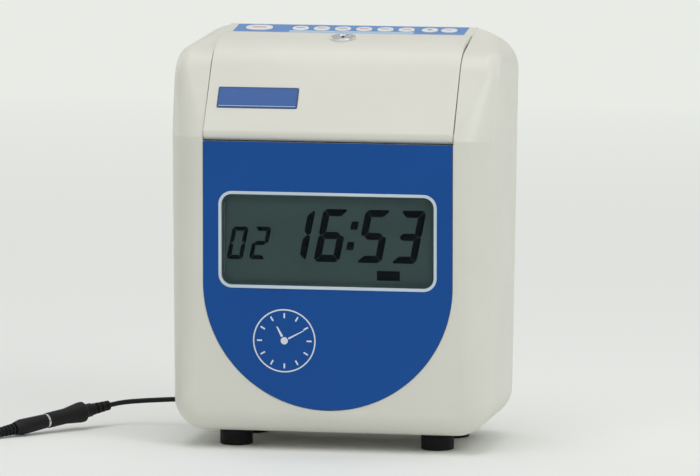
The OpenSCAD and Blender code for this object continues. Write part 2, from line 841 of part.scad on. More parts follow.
module feed_rollers() {
    color(black) for (s = [-1, 1]) difference() {
        rod_x(roller_r, s * roller_x - roller_w / 2, s * roller_x + roller_w / 2, feed_d, feed_z);
        rod_x(feed_shaft_r, s * roller_x - roller_w, s * roller_x + roller_w, feed_d, feed_z);
    }
}

module pinch_roller() {
    color(steel) {
        rod_x(pinch_shaft_r, -wing_in - wing_t - 0.5, wing_in + wing_t + 0.5, pinch_d, feed_z);
        for (s = [-1, 1])
            rod_x(pinch_r, s * roller_x - roller_w / 2, s * roller_x + roller_w / 2, pinch_d, feed_z);
    }
}

module carriage() {
    color(black) difference() {
        at(rod_d - 5, print_z - 7, -carriage_w / 2) cube([carriage_w, screw_d - rod_d + 10, 14]);
        rod_x(rod_dia / 2 + run, -30, 30, rod_d, print_z);
        rod_x(screw_dia / 2 + run, -30, 30, screw_d, print_z);
    }
}

module print_head() {
    color([0.5, 0.5, 0.52]) {
        at(screw_d + 5, print_z - 6, -7) cube([14, guide_d - 2 - screw_d - 5, 12]);
        at(guide_d - 2.5, print_z - 3, -3) cube([6, ribbon_d - nose_gap - guide_d + 2.5, 6]);
    }
}

module lead_screw() {
    color(steel) rod_x(screw_dia / 2, -wing_in - wing_t - 1, gear_x + gear_t, screw_d, print_z);
}

module ribbon_cassette() {
    color(black) difference() {
        union() {
            at(cassette_d, cassette_z, -wing_in + 0.2) cube([2 * wing_in - 0.4, cassette_l, cassette_h]);
            // Arms that hold the ribbon in front of the platen
            both_sides() at(horn_d, print_z - ribbon_h / 2 - 1, wing_in - horn_w - 0.6)
                cube([horn_w, ribbon_d + ribbon_t - horn_d, cassette_z - print_z + ribbon_h / 2 + 5]);
        }
        at(knob_d, cassette_z + 4, knob_x) cylinder(r = 2 + run, h = cassette_h);
    }
}

module ribbon() {
    span = wing_in - horn_w - 0.6;
    color([0.1, 0.1, 0.3]) at(ribbon_d, print_z - ribbon_h / 2, -span)
        cube([2 * span, ribbon_t, ribbon_h]);
}

module ribbon_knob() {
    color([0.2, 0.35, 0.6]) at(knob_d, cassette_z + cassette_h + hair, knob_x) difference() {
        union() {
            cylinder(r = knob_r, h = 4);
            translate([0, 0, -cassette_h + 4.5]) cylinder(r = 2, h = cassette_h);
        }
        for (a = [0:30:330]) rotate(a) translate([knob_r + 0.5, 0, 0.8]) cylinder(r = 1.1, h = 5);
    }
}

// Lid, lock and badge

// Line at depth t under the lid's surface: up the slope, round the bend and along the deck
function lid_line(t) = concat(
    [slope_foot + 1.5 * [cos(slope_deg), sin(slope_deg)] - t * slope_n],
    [for (i = [0:bend_steps]) let (a = slope_deg + (deck_tilt - slope_deg) * i / bend_steps)
        bend_c + (bend_r - t) * [-sin(a), cos(a)]],
    [lid_end - t * deck_n]);
function backwards(p) = [for (i = [len(p) - 1:-1:0]) p[i]];

// The lid's wall between two depths
module lid_band(t0, t1) {
    polygon(concat(lid_line(t0), backwards(lid_line(t1))));
}

module lid_slice(x, w) {
    translate([x, -mid_d, panel_z]) rotate([90, 0, 90]) linear_extrude(w) children();
}

module on_lock() {
    at(lock_p[0], panel_z + lock_p[1]) rotate([deck_tilt, 0, 0]) children();
}

// The badge's own frame: x, up along the slope, out of it
module on_slope() {
    along = [cos(slope_deg), sin(slope_deg)];
    p = slope_foot + badge_along * along;
    at(p[0], panel_z + p[1]) rotate([slope_deg, 0, 0]) children();
}

// Seat and hole of the lock
module lock_cut() {
    on_lock() rotate_extrude() polygon([[0, -12], [barrel_r, -12], [barrel_r, -lock_seat],
        [lock_r + 0.1, -lock_seat], [lock_r + 0.1, 4], [0, 4]]);
}

module lid() {
    color(ivory) {
        difference() {
            lid_slice(-panel_w / 2, panel_w) {
                lid_band(0, lid_t);
                translate(bead_c) circle(bead_r);
            }
            lock_cut();
            on_slope() translate([badge_x - badge_w / 2 - 0.1, -badge_h / 2 - 0.1, -badge_t / 2])
                cube([badge_w + 0.2, badge_h + 0.2, 2]);
        }
        // Stiffening ribs behind the slope
        for (x = [-34, 34]) lid_slice(x - 0.8, 1.6) intersection() {
            lid_band(lid_t - 0.2, lid_t + 3);
            translate([4, 8]) square([30, 40]);
        }
        // Pad that the lock's nut bears on
        difference() {
            on_lock() translate([0, 0, -lock_seat - pad_t]) cylinder(r = lock_r + 2.2, h = pad_t);
            lock_cut();
        }
        reach = bay_w / 2 + cheek_t - 0.3;
        rod_x(hinge_pin_r, -reach, reach, bead_c[0], panel_z + bead_c[1]);
    }
}

module lid_badge() {
    color([0.9, 0.9, 0.88]) on_slope() translate([badge_x, 0, -badge_t / 2]) linear_extrude(badge_t)
        rounded(badge_w, badge_h, 1);
}

module lock_barrel() {
    color(steel) on_lock() difference() {
        union() {
            translate([0, 0, -lock_seat]) cylinder(r = lock_r, h = lock_seat + lock_rise);
            translate([0, 0, -barrel_l]) cylinder(r = barrel_r, h = barrel_l);
        }
        translate([0, 0, -barrel_l - 1]) cylinder(r = lock_plug_r + run, h = barrel_l + lock_rise + 2);
    }
}

module lock_nut() {
    color(steel) on_lock() translate([0, 0, -lock_seat - pad_t - nut_t]) difference() {
        cylinder(r = 7.6, h = nut_t, $fn = 6);
        translate([0, 0, -1]) cylinder(r = barrel_r, h = nut_t + 2);
    }
}

module lock_plug() {
    color(steel) on_lock() difference() {
        union() {
            translate([0, 0, -barrel_l - hair])
                cylinder(r = lock_plug_r, h = barrel_l + lock_rise - 0.2 + hair);
            translate([0, 0, -barrel_l - hair - cam_t - 0.6]) cylinder(r = cam_pin_r, h = cam_t + 1);
        }
        // Keyway
        translate([-0.6, -2.4, -8]) cube([1.2, 4.8, 12]);
    }
}

module lock_cam() {
    color(steel) on_lock() translate([0, 0, -barrel_l - hair - cam_t]) linear_extrude(cam_t)
        difference() {
            union() {
                circle(cam_w / 2 + 0.8);
                translate([0, -cam_w / 2]) square([cam_l - cam_w / 2, cam_w]);
                translate([cam_l - cam_w / 2, 0]) circle(cam_w / 2);
            }
            circle(cam_pin_r);
        }
}

// Power lead, connectors, coil and adapter

// Bend relief of the lead, in its hole in the side wall
module cord_gland() {
    color(black) at(gland_d, gland_z, gland_end_x) rotate([0, 90, 0]) {
        cylinder(r1 = 2.2, r2 = gland_r, h = 11);
        translate([0, 0, 11]) cylinder(r = gland_r, h = 9);
    }
}

module power_lead() {
    color(black) tube(lead_points, lead_r, 8);
}

// In-line socket: ribbed tail, collar, grip and mouth, from the tail towards the joint
module dc_socket() {
    rib_step = 3.1;
    collar_y = 12.3;
    grip_y = 17;
    mouth_y = 29.2;
    mouth_r = 4.1;
    grip_r = 5.4;
    color(black) aim(lead_end, join_dir) rotate_extrude() {
        for (i = [0:3]) translate([0, 0.3 + i * rib_step]) square([2.6 + 0.16 * i, 2.1]);
        square([2, collar_y + 1]);
        translate([0, collar_y]) square([3.6, grip_y - collar_y + 1]);
        polygon([[0, grip_y], [grip_r - 0.6, grip_y], [grip_r, grip_y + 0.6], [grip_r, grip_y + 2.8],
            [mouth_r, mouth_y], [mouth_r, socket_l], [0, socket_l]]);
    }
}

// Plug of the adapter's lead, from the joint towards its ribbed tail
module dc_plug() {
    grip_l = 17.5;
    rib_y = 21.8;
    rib_step = 2.2;
    color(black) aim(join_p, join_dir) rotate_extrude() {
        polygon([[0, 0], [3.7, 0], [4.2, grip_l], [3.3, rib_y], [0, rib_y]]);
        for (i = [0:4]) translate([0, rib_y + 0.8 + i * rib_step]) square([3 - 0.12 * i, 1.3]);
        translate([0, rib_y - 1]) square([2.1, plug_l - rib_y + 1]);
    }
}

module adapter_lead() {
    color(black) tube(adapter_points, lead_r, 8);
}

// Radius of the coil after t turns: in, out, in and out again, turning back in half a turn
function coil_leg(t) = min(3, floor(t / (coil_run + 0.5)));
function coil_r(t) = let (k = coil_leg(t), u = t - k * (coil_run + 0.5), inward = k % 2 == 0)
    let (v = u <= coil_run ? u : coil_run + (u - coil_run) - 2 * pow(u - coil_run, 2))
    inward ? coil_outer_r - coil_step * v : coil_inner_r + coil_step * v;
function coil_climb(t) = let (k = coil_leg(t), u = t - k * (coil_run + 0.5) - coil_run)
    k + (k < 3 && u > 0 ? let (w = min(1, u * 2)) w * w * (3 - 2 * w) : 0);
function coil_at(t) = let (a = coil_start_deg - 360 * t, r = coil_r(t))
    [coil_c[0] + r * cos(a), coil_c[1] + r * sin(a), coil_low + coil_layer * coil_climb(t)];
coil_steps = ceil(coil_turns * coil_rings);
coil_loops = [for (i = [0:coil_steps]) coil_at(i * coil_turns / coil_steps)];
coil_points = concat([adapter_points[len(adapter_points) - 1]], coil_loops, [adapter_p]);

// Least gap between stretches of the coil that lie at least half a turn apart
coil_last = len(coil_loops) - 1;
function coil_near(i) = min([1e3,
    for (j = [i + coil_rings / 2:coil_last]) norm(coil_loops[i] - coil_loops[j])]);
coil_gap = min([for (i = [0:coil_last]) coil_near(i)]) - lead_dia;
echo(coil_gap = coil_gap, coil_turns = coil_turns, coil_outer_r = coil_outer_r, adapter_p = adapter_p);

module lead_coil() {
    color(black) tube(coil_points, lead_r, coil_sides);
}

adapter_w = 36;
adapter_l = 50;
adapter_h = 28;
relief_l = 22;
pin_l = 18;
pin_x = 6.5;
pin_r = 2;

// Plug-top adapter on its side, its lead leaving from the end nearest the coil
module wall_adapter() {
    color(black) translate(adapter_p) {
        rotate([-90, 0, 0]) cylinder(r1 = 2, r2 = 3.2, h = relief_l);
        translate([-adapter_w / 2, relief_l, -adapter_p[2]]) difference() {
            linear_extrude(adapter_h) translate([adapter_w / 2, adapter_l / 2])
                rounded(adapter_w, adapter_l, 4);
            translate([-1, -1, adapter_h - 2]) cube([2, adapter_l + 2, 3]);
        }
        for (x = [-pin_x, pin_x]) translate([x, relief_l + adapter_l, adapter_h / 2 - adapter_p[2]])
            rotate([-90, 0, 0]) cylinder(r = pin_r, h = pin_l);
    }
}

housing();
rear_cover();
case_screws();
rubber_feet();
foot_screws();
front_panel();
display_frame();
display_window();
lcd_glass();
lcd_board();
main_board();
backup_battery();
key_deck();
key_strip();
key_board();
card_throat();
card_guide();
chassis();
platen();
guide_rod();
feed_motor();
carriage_motor();
ribbon_cassette();
ribbon();
cord_gland();
power_lead();
dc_socket();
dc_plug();
adapter_lead();
lead_coil();
wall_adapter();
lid();
lid_badge();
lock_barrel();
lock_nut();
lock_plug();
lock_cam();
key_main();
round_key(key_xs[0]);  // key_1
round_key(key_xs[1]);  // key_2
round_key(key_xs[2]);  // key_3
round_key(key_xs[3]);  // key_4
round_key(key_xs[4]);  // key_5
round_key(key_xs[5]);  // key_6
round_key(pair_x[0]);  // key_left
round_key(pair_x[1]);  // key_right
feed_shaft();
feed_rollers();
feed_gear();
feed_pinion();
pinch_roller();
carriage();
print_head();
lead_screw();
screw_gear();
screw_pinion();
ribbon_knob();
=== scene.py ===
import json
import math

import bmesh
import bpy
from mathutils import Matrix, Vector


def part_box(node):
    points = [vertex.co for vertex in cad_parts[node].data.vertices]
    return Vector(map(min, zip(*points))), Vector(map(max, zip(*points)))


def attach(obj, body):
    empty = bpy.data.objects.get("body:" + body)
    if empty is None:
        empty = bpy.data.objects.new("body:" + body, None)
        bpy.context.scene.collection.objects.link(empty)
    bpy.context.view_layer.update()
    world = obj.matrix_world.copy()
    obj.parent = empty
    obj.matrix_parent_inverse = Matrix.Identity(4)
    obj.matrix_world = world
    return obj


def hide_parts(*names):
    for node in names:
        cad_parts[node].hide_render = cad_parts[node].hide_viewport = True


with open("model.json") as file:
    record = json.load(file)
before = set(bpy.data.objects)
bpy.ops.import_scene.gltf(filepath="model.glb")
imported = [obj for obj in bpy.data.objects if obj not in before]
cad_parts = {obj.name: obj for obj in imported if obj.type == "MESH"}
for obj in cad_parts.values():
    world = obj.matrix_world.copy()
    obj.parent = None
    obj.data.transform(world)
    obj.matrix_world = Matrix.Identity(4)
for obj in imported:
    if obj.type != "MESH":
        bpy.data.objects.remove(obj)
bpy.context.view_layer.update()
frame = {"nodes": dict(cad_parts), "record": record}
nodes = frame["nodes"]
record = frame["record"]
bodyOf = {node: body for body, members in record["behaviour"]["bodies"].items() for node in members}
slotOf = {part["node"]: part["material_slot"] for part in record["subparts"]}
scene = bpy.context.scene
scene.view_settings.view_transform = "Standard"
mm = 0.001
panelProud = 0.4                  # how far the panel stands before the housing's front, in mm
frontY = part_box("front_panel")[0].y + panelProud * mm
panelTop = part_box("front_panel")[1].z
print("frame loaded:", len(nodes), "nodes")


def at(x, depth, up):             # x, depth behind the front, height above the panel's top edge, in mm
    return Vector((x * mm, frontY + depth * mm, panelTop + up * mm))


def polar(radius, degrees):
    angle = math.radians(degrees)
    return radius * math.cos(angle), radius * math.sin(angle)


# Camera, from the photograph's own perspective; the middle of the panel's top edge lies aimRight and
# aimUp from the middle of the picture, in mm
cameraView = {"focalPx": 7070.0, "widthPx": 700, "pxPerMm": 1.955, "azimuth": 10.9, "elevation": 6.67,
              "aimRight": -11.586, "aimUp": 48.465, "sensor": 36.0}


def placeCamera(view):
    azimuth, elevation = math.radians(view["azimuth"]), math.radians(view["elevation"])
    right = Vector((math.cos(azimuth), math.sin(azimuth), 0))
    level, rise = math.cos(elevation), math.sin(elevation)
    back = Vector((math.sin(azimuth) * level, -math.cos(azimuth) * level, rise))
    up = back.cross(right)
    away = view["focalPx"] / view["pxPerMm"]
    spot = at(0, 0, 0) + (back * away - right * view["aimRight"] - up * view["aimUp"]) * mm
    lens = bpy.data.cameras.new("photoCamera")
    lens.sensor_width = view["sensor"]
    lens.lens = view["focalPx"] / view["widthPx"] * view["sensor"]
    camera = bpy.data.objects.new("photoCamera", lens)
    scene.collection.objects.link(camera)
    turn = Matrix((right, up, back)).transposed().to_4x4()
    camera.matrix_world = Matrix.Translation(spot) @ turn
    scene.camera = camera


placeCamera(cameraView)
print("camera placed")


class Wire:                       # a shader socket that can be used in sums
    def __init__(self, paint, socket):
        self.paint, self.socket = paint, socket

    def __add__(self, other):
        return self.paint.math("ADD", self, other)

    def __sub__(self, other):
        return self.paint.math("SUBTRACT", self, other)

    def __rsub__(self, other):
        return self.paint.math("SUBTRACT", other, self)

    def __mul__(self, other):
        return self.paint.math("MULTIPLY", self, other)

    __radd__, __rmul__ = __add__, __mul__


def grey(level):
    return (level, level, level, 1)


edgeSamples = 6                   # rays of the shader that rounds the edges


class Paint:                      # one material and its nodes
    def __init__(self, name):
        self.material = bpy.data.materials.new(name)
        self.material.use_nodes = True
        self.tree = self.material.node_tree
        self.tree.nodes.clear()
        self.output = self.tree.nodes.new("ShaderNodeOutputMaterial")

    def node(self, kind, settings=None, links=None, out=0):
        made = self.tree.nodes.new("ShaderNode" + kind)
        for key, value in (settings or {}).items():
            if key == "stops":
                for element, (spot, colour) in zip(made.color_ramp.elements, value):
                    element.position, element.color = spot, colour
            else:
                setattr(made, key, value)
        for key, value in (links or {}).items():
            socket = made.inputs[key]
            if isinstance(value, Wire):
                self.tree.links.new(value.socket, socket)
            else:
                socket.default_value = value
        return Wire(self, made.outputs[out])

    def math(self, operation, a, b):
        return self.node("Math", {"operation": operation}, {0: a, 1: b})

    def place(self):
        return self.node("TexCoord", out="Object")

    def stretched(self, scale):
        return self.node("Mapping", links={"Vector": self.place(), "Scale": scale})

    def noise(self, scale, detail=3.0, rough=0.55, vector=None):
        return self.node("TexNoise", links={"Vector": vector or self.place(), "Scale": scale,
                                            "Detail": detail, "Roughness": rough})

    def mix(self, amount, first, second):
        return self.node("Mix", {"data_type": "RGBA"}, {0: amount, 6: first, 7: second}, out=2)

    def ramp(self, amount, low, high):
        return self.node("ValToRGB", {"stops": [(low, grey(0)), (high, grey(1))]}, {0: amount})

    def bump(self, height, strength, distance, edge=0.0):
        links = {"Height": height, "Strength": strength, "Distance": distance}
        if edge:
            links["Normal"] = self.node("Bevel", {"samples": edgeSamples}, {"Radius": edge})
        return self.node("Bump", links=links)

    def surface(self, shader):
        self.tree.links.new(shader.socket, self.output.inputs["Surface"])
        return self.material

    def finish(self, links):
        return self.surface(self.node("BsdfPrincipled", links=links))


def shade(r, g, b):               # a colour as seen on screen, 0 to 255, made linear
    def line(v):
        v /= 255
        return v / 12.92 if v <= 0.04045 else ((v + 0.055) / 1.055) ** 2.4
    return (line(r), line(g), line(b), 1)


# Finishes: a noise is given as its scale, then detail and roughness where they are set; heights and
# edge radii are in metres
noiseMiddle = 0.5
plasticLook = {"patches": (24.0, 4.0), "patchRange": (0.35, 0.7), "grain": (2600.0, 2.0),
               "grainRough": 0.1, "grainBump": 0.35, "dust": (180.0, 5.0, 0.65), "dustRange": (0.6, 0.8),
               "dustShare": 0.25, "dustRough": 0.06, "coatRough": 0.14}


def grainedPlastic(name, light, dark, rough, grain=0.00003, edge=0.0004, gloss=0.5, coat=0.0):
    look = plasticLook
    p = Paint(name)
    patches = p.ramp(p.noise(*look["patches"]), *look["patchRange"])
    fine = p.noise(*look["grain"])
    dust = p.ramp(p.noise(*look["dust"]), *look["dustRange"])
    colour = p.mix(dust * look["dustShare"], p.mix(patches, dark, light), dark)
    worn = rough + look["grainRough"] * (fine - noiseMiddle) + look["dustRough"] * dust
    return p.finish({"Base Color": colour, "Roughness": worn, "Specular IOR Level": gloss,
                     "Coat Weight": coat, "Coat Roughness": look["coatRough"],
                     "Normal": p.bump(fine, look["grainBump"], grain, edge)})


printLook = {"cloud": (14.0, 3.0), "cloudRange": (0.3, 0.75), "smear": (90.0, 4.0), "smearRough": 0.05,
             "peel": (420.0, 2.0), "peelBump": 0.12, "peelHeight": 0.00002, "edge": 0.0002}


def glossyPrint(name, light, dark, rough, gloss=0.12):
    look = printLook
    p = Paint(name)
    cloud = p.ramp(p.noise(*look["cloud"]), *look["cloudRange"])
    smear = p.noise(*look["smear"])
    peel = p.noise(*look["peel"])
    return p.finish({"Base Color": p.mix(cloud, dark, light), "Specular IOR Level": gloss,
                     "Roughness": rough + look["smearRough"] * (smear - noiseMiddle),
                     "Normal": p.bump(peel, look["peelBump"], look["peelHeight"], look["edge"])})


metalLook = {"lines": (1.0, 3.0, 0.6), "linesRough": 0.16, "linesBump": 0.15, "linesHeight": 0.00001,
             "stain": (60.0, 4.0), "stainRange": (0.45, 0.8), "stainTone": 0.8, "edge": 0.0002}


def drawnMetal(name, colour, rough, along=(30.0, 900.0, 900.0)):
    look = metalLook
    p = Paint(name)
    lines = p.noise(*look["lines"], p.stretched(along))
    stain = p.ramp(p.noise(*look["stain"]), *look["stainRange"])
    stained = tuple(look["stainTone"] * c for c in colour[:3]) + (1,)
    return p.finish({"Base Color": p.mix(stain, colour, stained), "Metallic": 1.0,
                     "Roughness": rough + look["linesRough"] * (lines - noiseMiddle),
                     "Normal": p.bump(lines, look["linesBump"], look["linesHeight"], look["edge"])})


rubberLook = {"fine": (1900.0, 3.0), "fineRough": 0.12, "fineBump": 0.3, "fineHeight": 0.00004,
              "gloss": 0.25, "bloom": (70.0, 4.0), "bloomRange": (0.5, 0.85), "bloomShare": 0.5,
              "bloomGain": 1.7, "bloomLift": 0.002}


def softRubber(name, colour, rough, edge=0.0004):
    look = rubberLook
    p = Paint(name)
    fine = p.noise(*look["fine"])
    bloom = p.ramp(p.noise(*look["bloom"]), *look["bloomRange"])
    pale = tuple(min(1, c * look["bloomGain"] + look["bloomLift"]) for c in colour[:3]) + (1,)
    return p.finish({"Base Color": p.mix(bloom * look["bloomShare"], colour, pale),
                     "Roughness": rough + look["fineRough"] * (fine - noiseMiddle),
                     "Specular IOR Level": look["gloss"],
                     "Normal": p.bump(fine, look["fineBump"], look["fineHeight"], edge)})


boardLook = {"scale": 130.0, "track": 0.06, "offset": 0.5, "fields": (0.0, 0.1),
             "mask": shade(22, 92, 52), "copper": shade(38, 128, 74), "rough": 0.35, "bump": 0.3,
             "height": 0.00003}


def circuitBoard(name):
    look = boardLook
    p = Paint(name)
    first, second = look["fields"]
    tracks = p.node("TexBrick", {"offset": look["offset"]},
                    {"Vector": p.place(), "Scale": look["scale"], "Mortar Size": look["track"],
                     "Color1": grey(first), "Color2": grey(second), "Mortar": grey(1)})
    return p.finish({"Base Color": p.mix(tracks, look["mask"], look["copper"]), "Roughness": look["rough"],
                     "Normal": p.bump(tracks, look["bump"], look["height"])})


windowLook = {"tint": (0.97, 0.985, 0.98, 1), "rough": 0.06, "ior": 1.1}


def clearWindow(name):
    look = windowLook
    p = Paint(name)
    clear = p.node("BsdfTransparent", links={"Color": look["tint"]})
    gloss = p.node("BsdfGlossy", links={"Color": grey(1), "Roughness": look["rough"]})
    edgeOn = p.node("Fresnel", links={"IOR": look["ior"]})
    return p.surface(p.node("MixShader", links={0: edgeOn, 1: clear, 2: gloss}))


faceLook = {"bands": (6.0, 2.0, 0.5), "bandStretch": (3, 3, 9), "bandRange": (0.3, 0.7),
            "dark": shade(66, 83, 84), "light": shade(71, 89, 89), "rough": 0.5, "haze": 300.0,
            "hazeRough": 0.08, "gloss": 0.05, "grain": 1600.0, "grainBump": 0.1, "grainHeight": 0.00001}


def displayFace(name):
    look = faceLook
    p = Paint(name)
    bands = p.ramp(p.noise(*look["bands"], p.stretched(look["bandStretch"])), *look["bandRange"])
    haze = p.noise(look["haze"])
    return p.finish({"Base Color": p.mix(bands, look["dark"], look["light"]),
                     "Roughness": look["rough"] + look["hazeRough"] * (haze - noiseMiddle),
                     "Specular IOR Level": look["gloss"],
                     "Normal": p.bump(p.noise(look["grain"]), look["grainBump"], look["grainHeight"])})


finishes = {
    "ivory": grainedPlastic("ivoryPlastic", shade(224, 224, 213), shade(220, 220, 209), 0.42, 0.00002,
                            0.00025, coat=0.1),
    "panel_blue": glossyPrint("panelBlue", shade(27, 83, 158), shade(23, 78, 151), 0.3),
    "strip_blue": glossyPrint("stripBlue", shade(98, 146, 206), shade(90, 138, 200), 0.3),
    "frame_trim": grainedPlastic("frameTrim", shade(205, 220, 231), shade(195, 211, 223), 0.3, 0.00001,
                                 0.0003),
    "window": clearWindow("displayWindow"),
    "lcd": displayFace("displayFace"),
    "board": circuitBoard("circuitBoard"),
    "key_white": grainedPlastic("keyWhite", shade(238, 238, 236), shade(228, 229, 228), 0.35, 0.00001,
                                0.0003),
    "badge": glossyPrint("badgeBlue", shade(58, 100, 168), shade(50, 91, 158), 0.25, 0.3),
    "steel": drawnMetal("drawnSteel", (0.56, 0.57, 0.58, 1), 0.32),
    "lock_metal": drawnMetal("lockMetal", (0.8, 0.8, 0.81, 1), 0.16, (700.0, 700.0, 60.0)),
    "gear": grainedPlastic("gearPlastic", shade(224, 220, 204), shade(212, 206, 188), 0.45, 0.00001,
                           0.0002),
    "black_plastic": grainedPlastic("blackPlastic", shade(38, 38, 40), shade(28, 28, 30), 0.42),
    "roller": softRubber("rollerRubber", shade(30, 30, 31), 0.75),
    "foot_rubber": softRubber("footRubber", shade(20, 20, 21), 0.7),
    "cord": softRubber("cordRubber", shade(17, 17, 19), 0.5, 0.0002),
    "ribbon": softRubber("inkedRibbon", shade(26, 26, 62), 0.85, 0.0),
    "motor": drawnMetal("motorCan", (0.4, 0.4, 0.42, 1), 0.38, (900.0, 40.0, 900.0)),
    "battery": grainedPlastic("batterySleeve", shade(40, 110, 70), shade(34, 98, 62), 0.3, 0.00001,
                              0.0003),
    "knob_blue": grainedPlastic("knobBlue", shade(52, 92, 160), shade(44, 82, 148), 0.4, 0.00002, 0.0003),
}
inkGrain = 0.000005
inks = {
    "dark": grainedPlastic("segmentInk", shade(12, 18, 24), shade(9, 14, 19), 0.6, inkGrain, 0.0,
                           gloss=0.02),
    "pale": grainedPlastic("printWhite", shade(226, 232, 240), shade(214, 222, 234), 0.4, inkGrain, 0.0),
    "blue": grainedPlastic("printBlue", shade(84, 122, 190), shade(76, 112, 182), 0.4, inkGrain, 0.0),
    "red": grainedPlastic("printRed", shade(216, 112, 104), shade(206, 100, 92), 0.4, inkGrain, 0.0),
    # the sky ink is print on the key strip and also a painted highlight on the badge
    "sky": grainedPlastic("printSky", shade(176, 206, 236), shade(168, 199, 232), 0.4, inkGrain, 0.0),
    # the rim ink is painted shade for the dark gap and edges round the raised badge
    "rim": grainedPlastic("badgeRim", shade(30, 56, 104), shade(26, 50, 96), 0.3, inkGrain, 0.0002),
}
for name, node in nodes.items():
    for holder in node.material_slots:
        holder.material = finishes[slotOf[name]]
print("finishes made:", len(finishes) + len(inks))


# Meshes
def newPiece(name, mesh, material, body, slot, stands=()):
    piece = bpy.data.objects.new(name, mesh)
    scene.collection.objects.link(piece)
    mesh.materials.clear()
    mesh.materials.append(material)
    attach(piece, body)
    if stands:
        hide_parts(*stands)
    return piece


def plainMesh(obj):               # the evaluated shape, with the object's modifiers made real
    graph = bpy.context.evaluated_depsgraph_get()
    graph.update()
    return bpy.data.meshes.new_from_object(obj.evaluated_get(graph), preserve_all_data_layers=True,
                                           depsgraph=graph)


def modified(mesh, kind, inputs=None, **settings):   # the mesh with one modifier made real
    obj = bpy.data.objects.new("modified", mesh)
    scene.collection.objects.link(obj)
    modifier = obj.modifiers.new("modifier", kind)
    for key, value in settings.items():
        setattr(modifier, key, value)
    for key, value in (inputs or {}).items():
        modifier[key] = value
    made = plainMesh(obj)
    bpy.data.objects.remove(obj)
    return made


def meshFrom(points, faces, name):
    mesh = bpy.data.meshes.new(name)
    mesh.from_pydata([tuple(p) for p in points], [], faces)
    mesh.update()
    return mesh


def meshOf(bm, name):             # a bmesh's plain mesh; the bmesh is freed
    mesh = bpy.data.meshes.new(name)
    bm.to_mesh(mesh)
    bm.free()
    return mesh


def smoothByAngle(mesh, degrees):
    mesh.polygons.foreach_set("use_smooth", [True] * len(mesh.polygons))
    mesh.set_sharp_from_angle(angle=math.radians(degrees))


def evenShading(mesh):            # large faces keep their own direction beside the roundings
    return modified(mesh, "WEIGHTED_NORMAL", keep_sharp=True)


# Cords: the routes of the part's source, in mm. The adapter's lead runs from the plug into a coil of
# layers, and takes a shift, a part of a turn, to climb from one layer to the next
leadRoute = {"diameter": 2.6, "easing": 3, "roundness": 4,
             "points": [(-90, 36, 13.8), (-94, 36, 13.8), (-99, 36, 13.6), (-104, 36, 13.3),
                        (-109, 36, 12.95), (-114, 35.9, 12.6), (-118, 35.5, 12.3), (-121.5, 34.7, 12.05),
                        (-125, 33, 11.8), (-127.7, 30.9, 11.55), (-129.6, 28.6, 11.3), (-132, 25.8, 11)]}
adapterRoute = {"join": (-157.9, -5.4, 6.5), "plugLength": 33.0, "straight": 3.0,
                "points": [(-183.5, -36.3, 2.1), (-187, -40.5, 1.7), (-190.5, -44.7, 1.5),
                           (-193.5, -48.3, 1.5), (-195.4, -50.6, 1.5)],
                "step": 3.1, "layer": 3.0, "layers": 4, "shift": 0.5, "innerRadius": 10.6, "low": 1.5,
                "wholeTurns": 14, "perTurn": 24}
joinSpot = Vector(adapterRoute["join"])
joinAway = (joinSpot - Vector(leadRoute["points"][-1])).normalized()


def eased(points, parts):         # a smooth line through the points
    line = []
    for i in range(len(points) - 1):
        p0, p1, p2, p3 = (points[min(max(i + k, 0), len(points) - 1)] for k in (-1, 0, 1, 2))
        for j in range(parts):
            t = j / parts
            line.append(0.5 * (2 * p1 + (p2 - p0) * t + (2 * p0 - 5 * p1 + 4 * p2 - p3) * t * t
                               + (3 * p1 - p0 - 3 * p2 + p3) * t ** 3))
    return line + [points[-1]]


def coilRoute(c):
    plugEnd = joinSpot + joinAway * c["plugLength"]
    run = [plugEnd, plugEnd + joinAway * c["straight"]] + [Vector(p) for p in c["points"]]
    enter = (run[-1] - run[-2]).normalized()
    startAngle = math.degrees(math.atan2(enter.y, enter.x)) + 90
    turns = c["wholeTurns"] + ((startAngle - 180) % 360) / 360
    top = c["layers"] - 1
    leg = (turns - top * c["shift"]) / c["layers"]       # turns that lie flat in each layer
    outer = c["innerRadius"] + leg * c["step"]
    outX, outY = polar(outer, startAngle)
    centre = run[-1] + Vector((-outX, -outY, 0)) + leadRoute["diameter"] * enter
    loops = []
    count = math.ceil(turns * c["perTurn"])
    for i in range(count + 1):
        turn = i * turns / count
        layer = min(top, math.floor(turn / (leg + c["shift"])))
        flat = turn - layer * (leg + c["shift"])
        over = flat - leg
        spiral = flat if flat <= leg else leg + over - over ** 2 / c["shift"]
        radius = outer - c["step"] * spiral if layer % 2 == 0 else c["innerRadius"] + c["step"] * spiral
        climb = min(1, over / c["shift"]) if layer < top and over > 0 else 0
        x, y = polar(radius, startAngle - 360 * turn)
        loops.append(Vector((centre.x + x, centre.y + y,
                             c["low"] + c["layer"] * (layer + climb * climb * (3 - 2 * climb)))))
    end = Vector((centre.x - outer, centre.y + leadRoute["diameter"], c["low"] + top * c["layer"]))
    return eased(run, leadRoute["easing"]) + loops + [end], centre, outer


def cordCurve(name, points):
    curve = bpy.data.curves.new(name, "CURVE")
    curve.dimensions = "3D"
    curve.bevel_depth = leadRoute["diameter"] * mm / 2
    curve.bevel_resolution = leadRoute["roundness"]
    curve.use_fill_caps = True
    line = curve.splines.new("POLY")
    line.points.add(len(points) - 1)
    for spot, p in zip(line.points, points):
        spot.co = (p.x * mm, p.y * mm, p.z * mm, 1)
    line.use_smooth = True
    curve.materials.append(finishes["cord"])
    piece = bpy.data.objects.new(name, curve)
    scene.collection.objects.link(piece)
    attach(piece, "housing")
    return piece, sum((b - a).length for a, b in zip(points, points[1:])) * mm


# Tie round the coil, thinner underneath, where the coil lies on it
coilTie = {"width": 5.0, "thick": 0.5, "underThick": 0.16, "underFrom": -0.5, "angle": 205, "room": 0.15,
           "inside": 0.2, "outside": 0.3, "floorGap": 0.02, "cornerR": 2.0, "cornerSteps": 6, "sharp": 50}


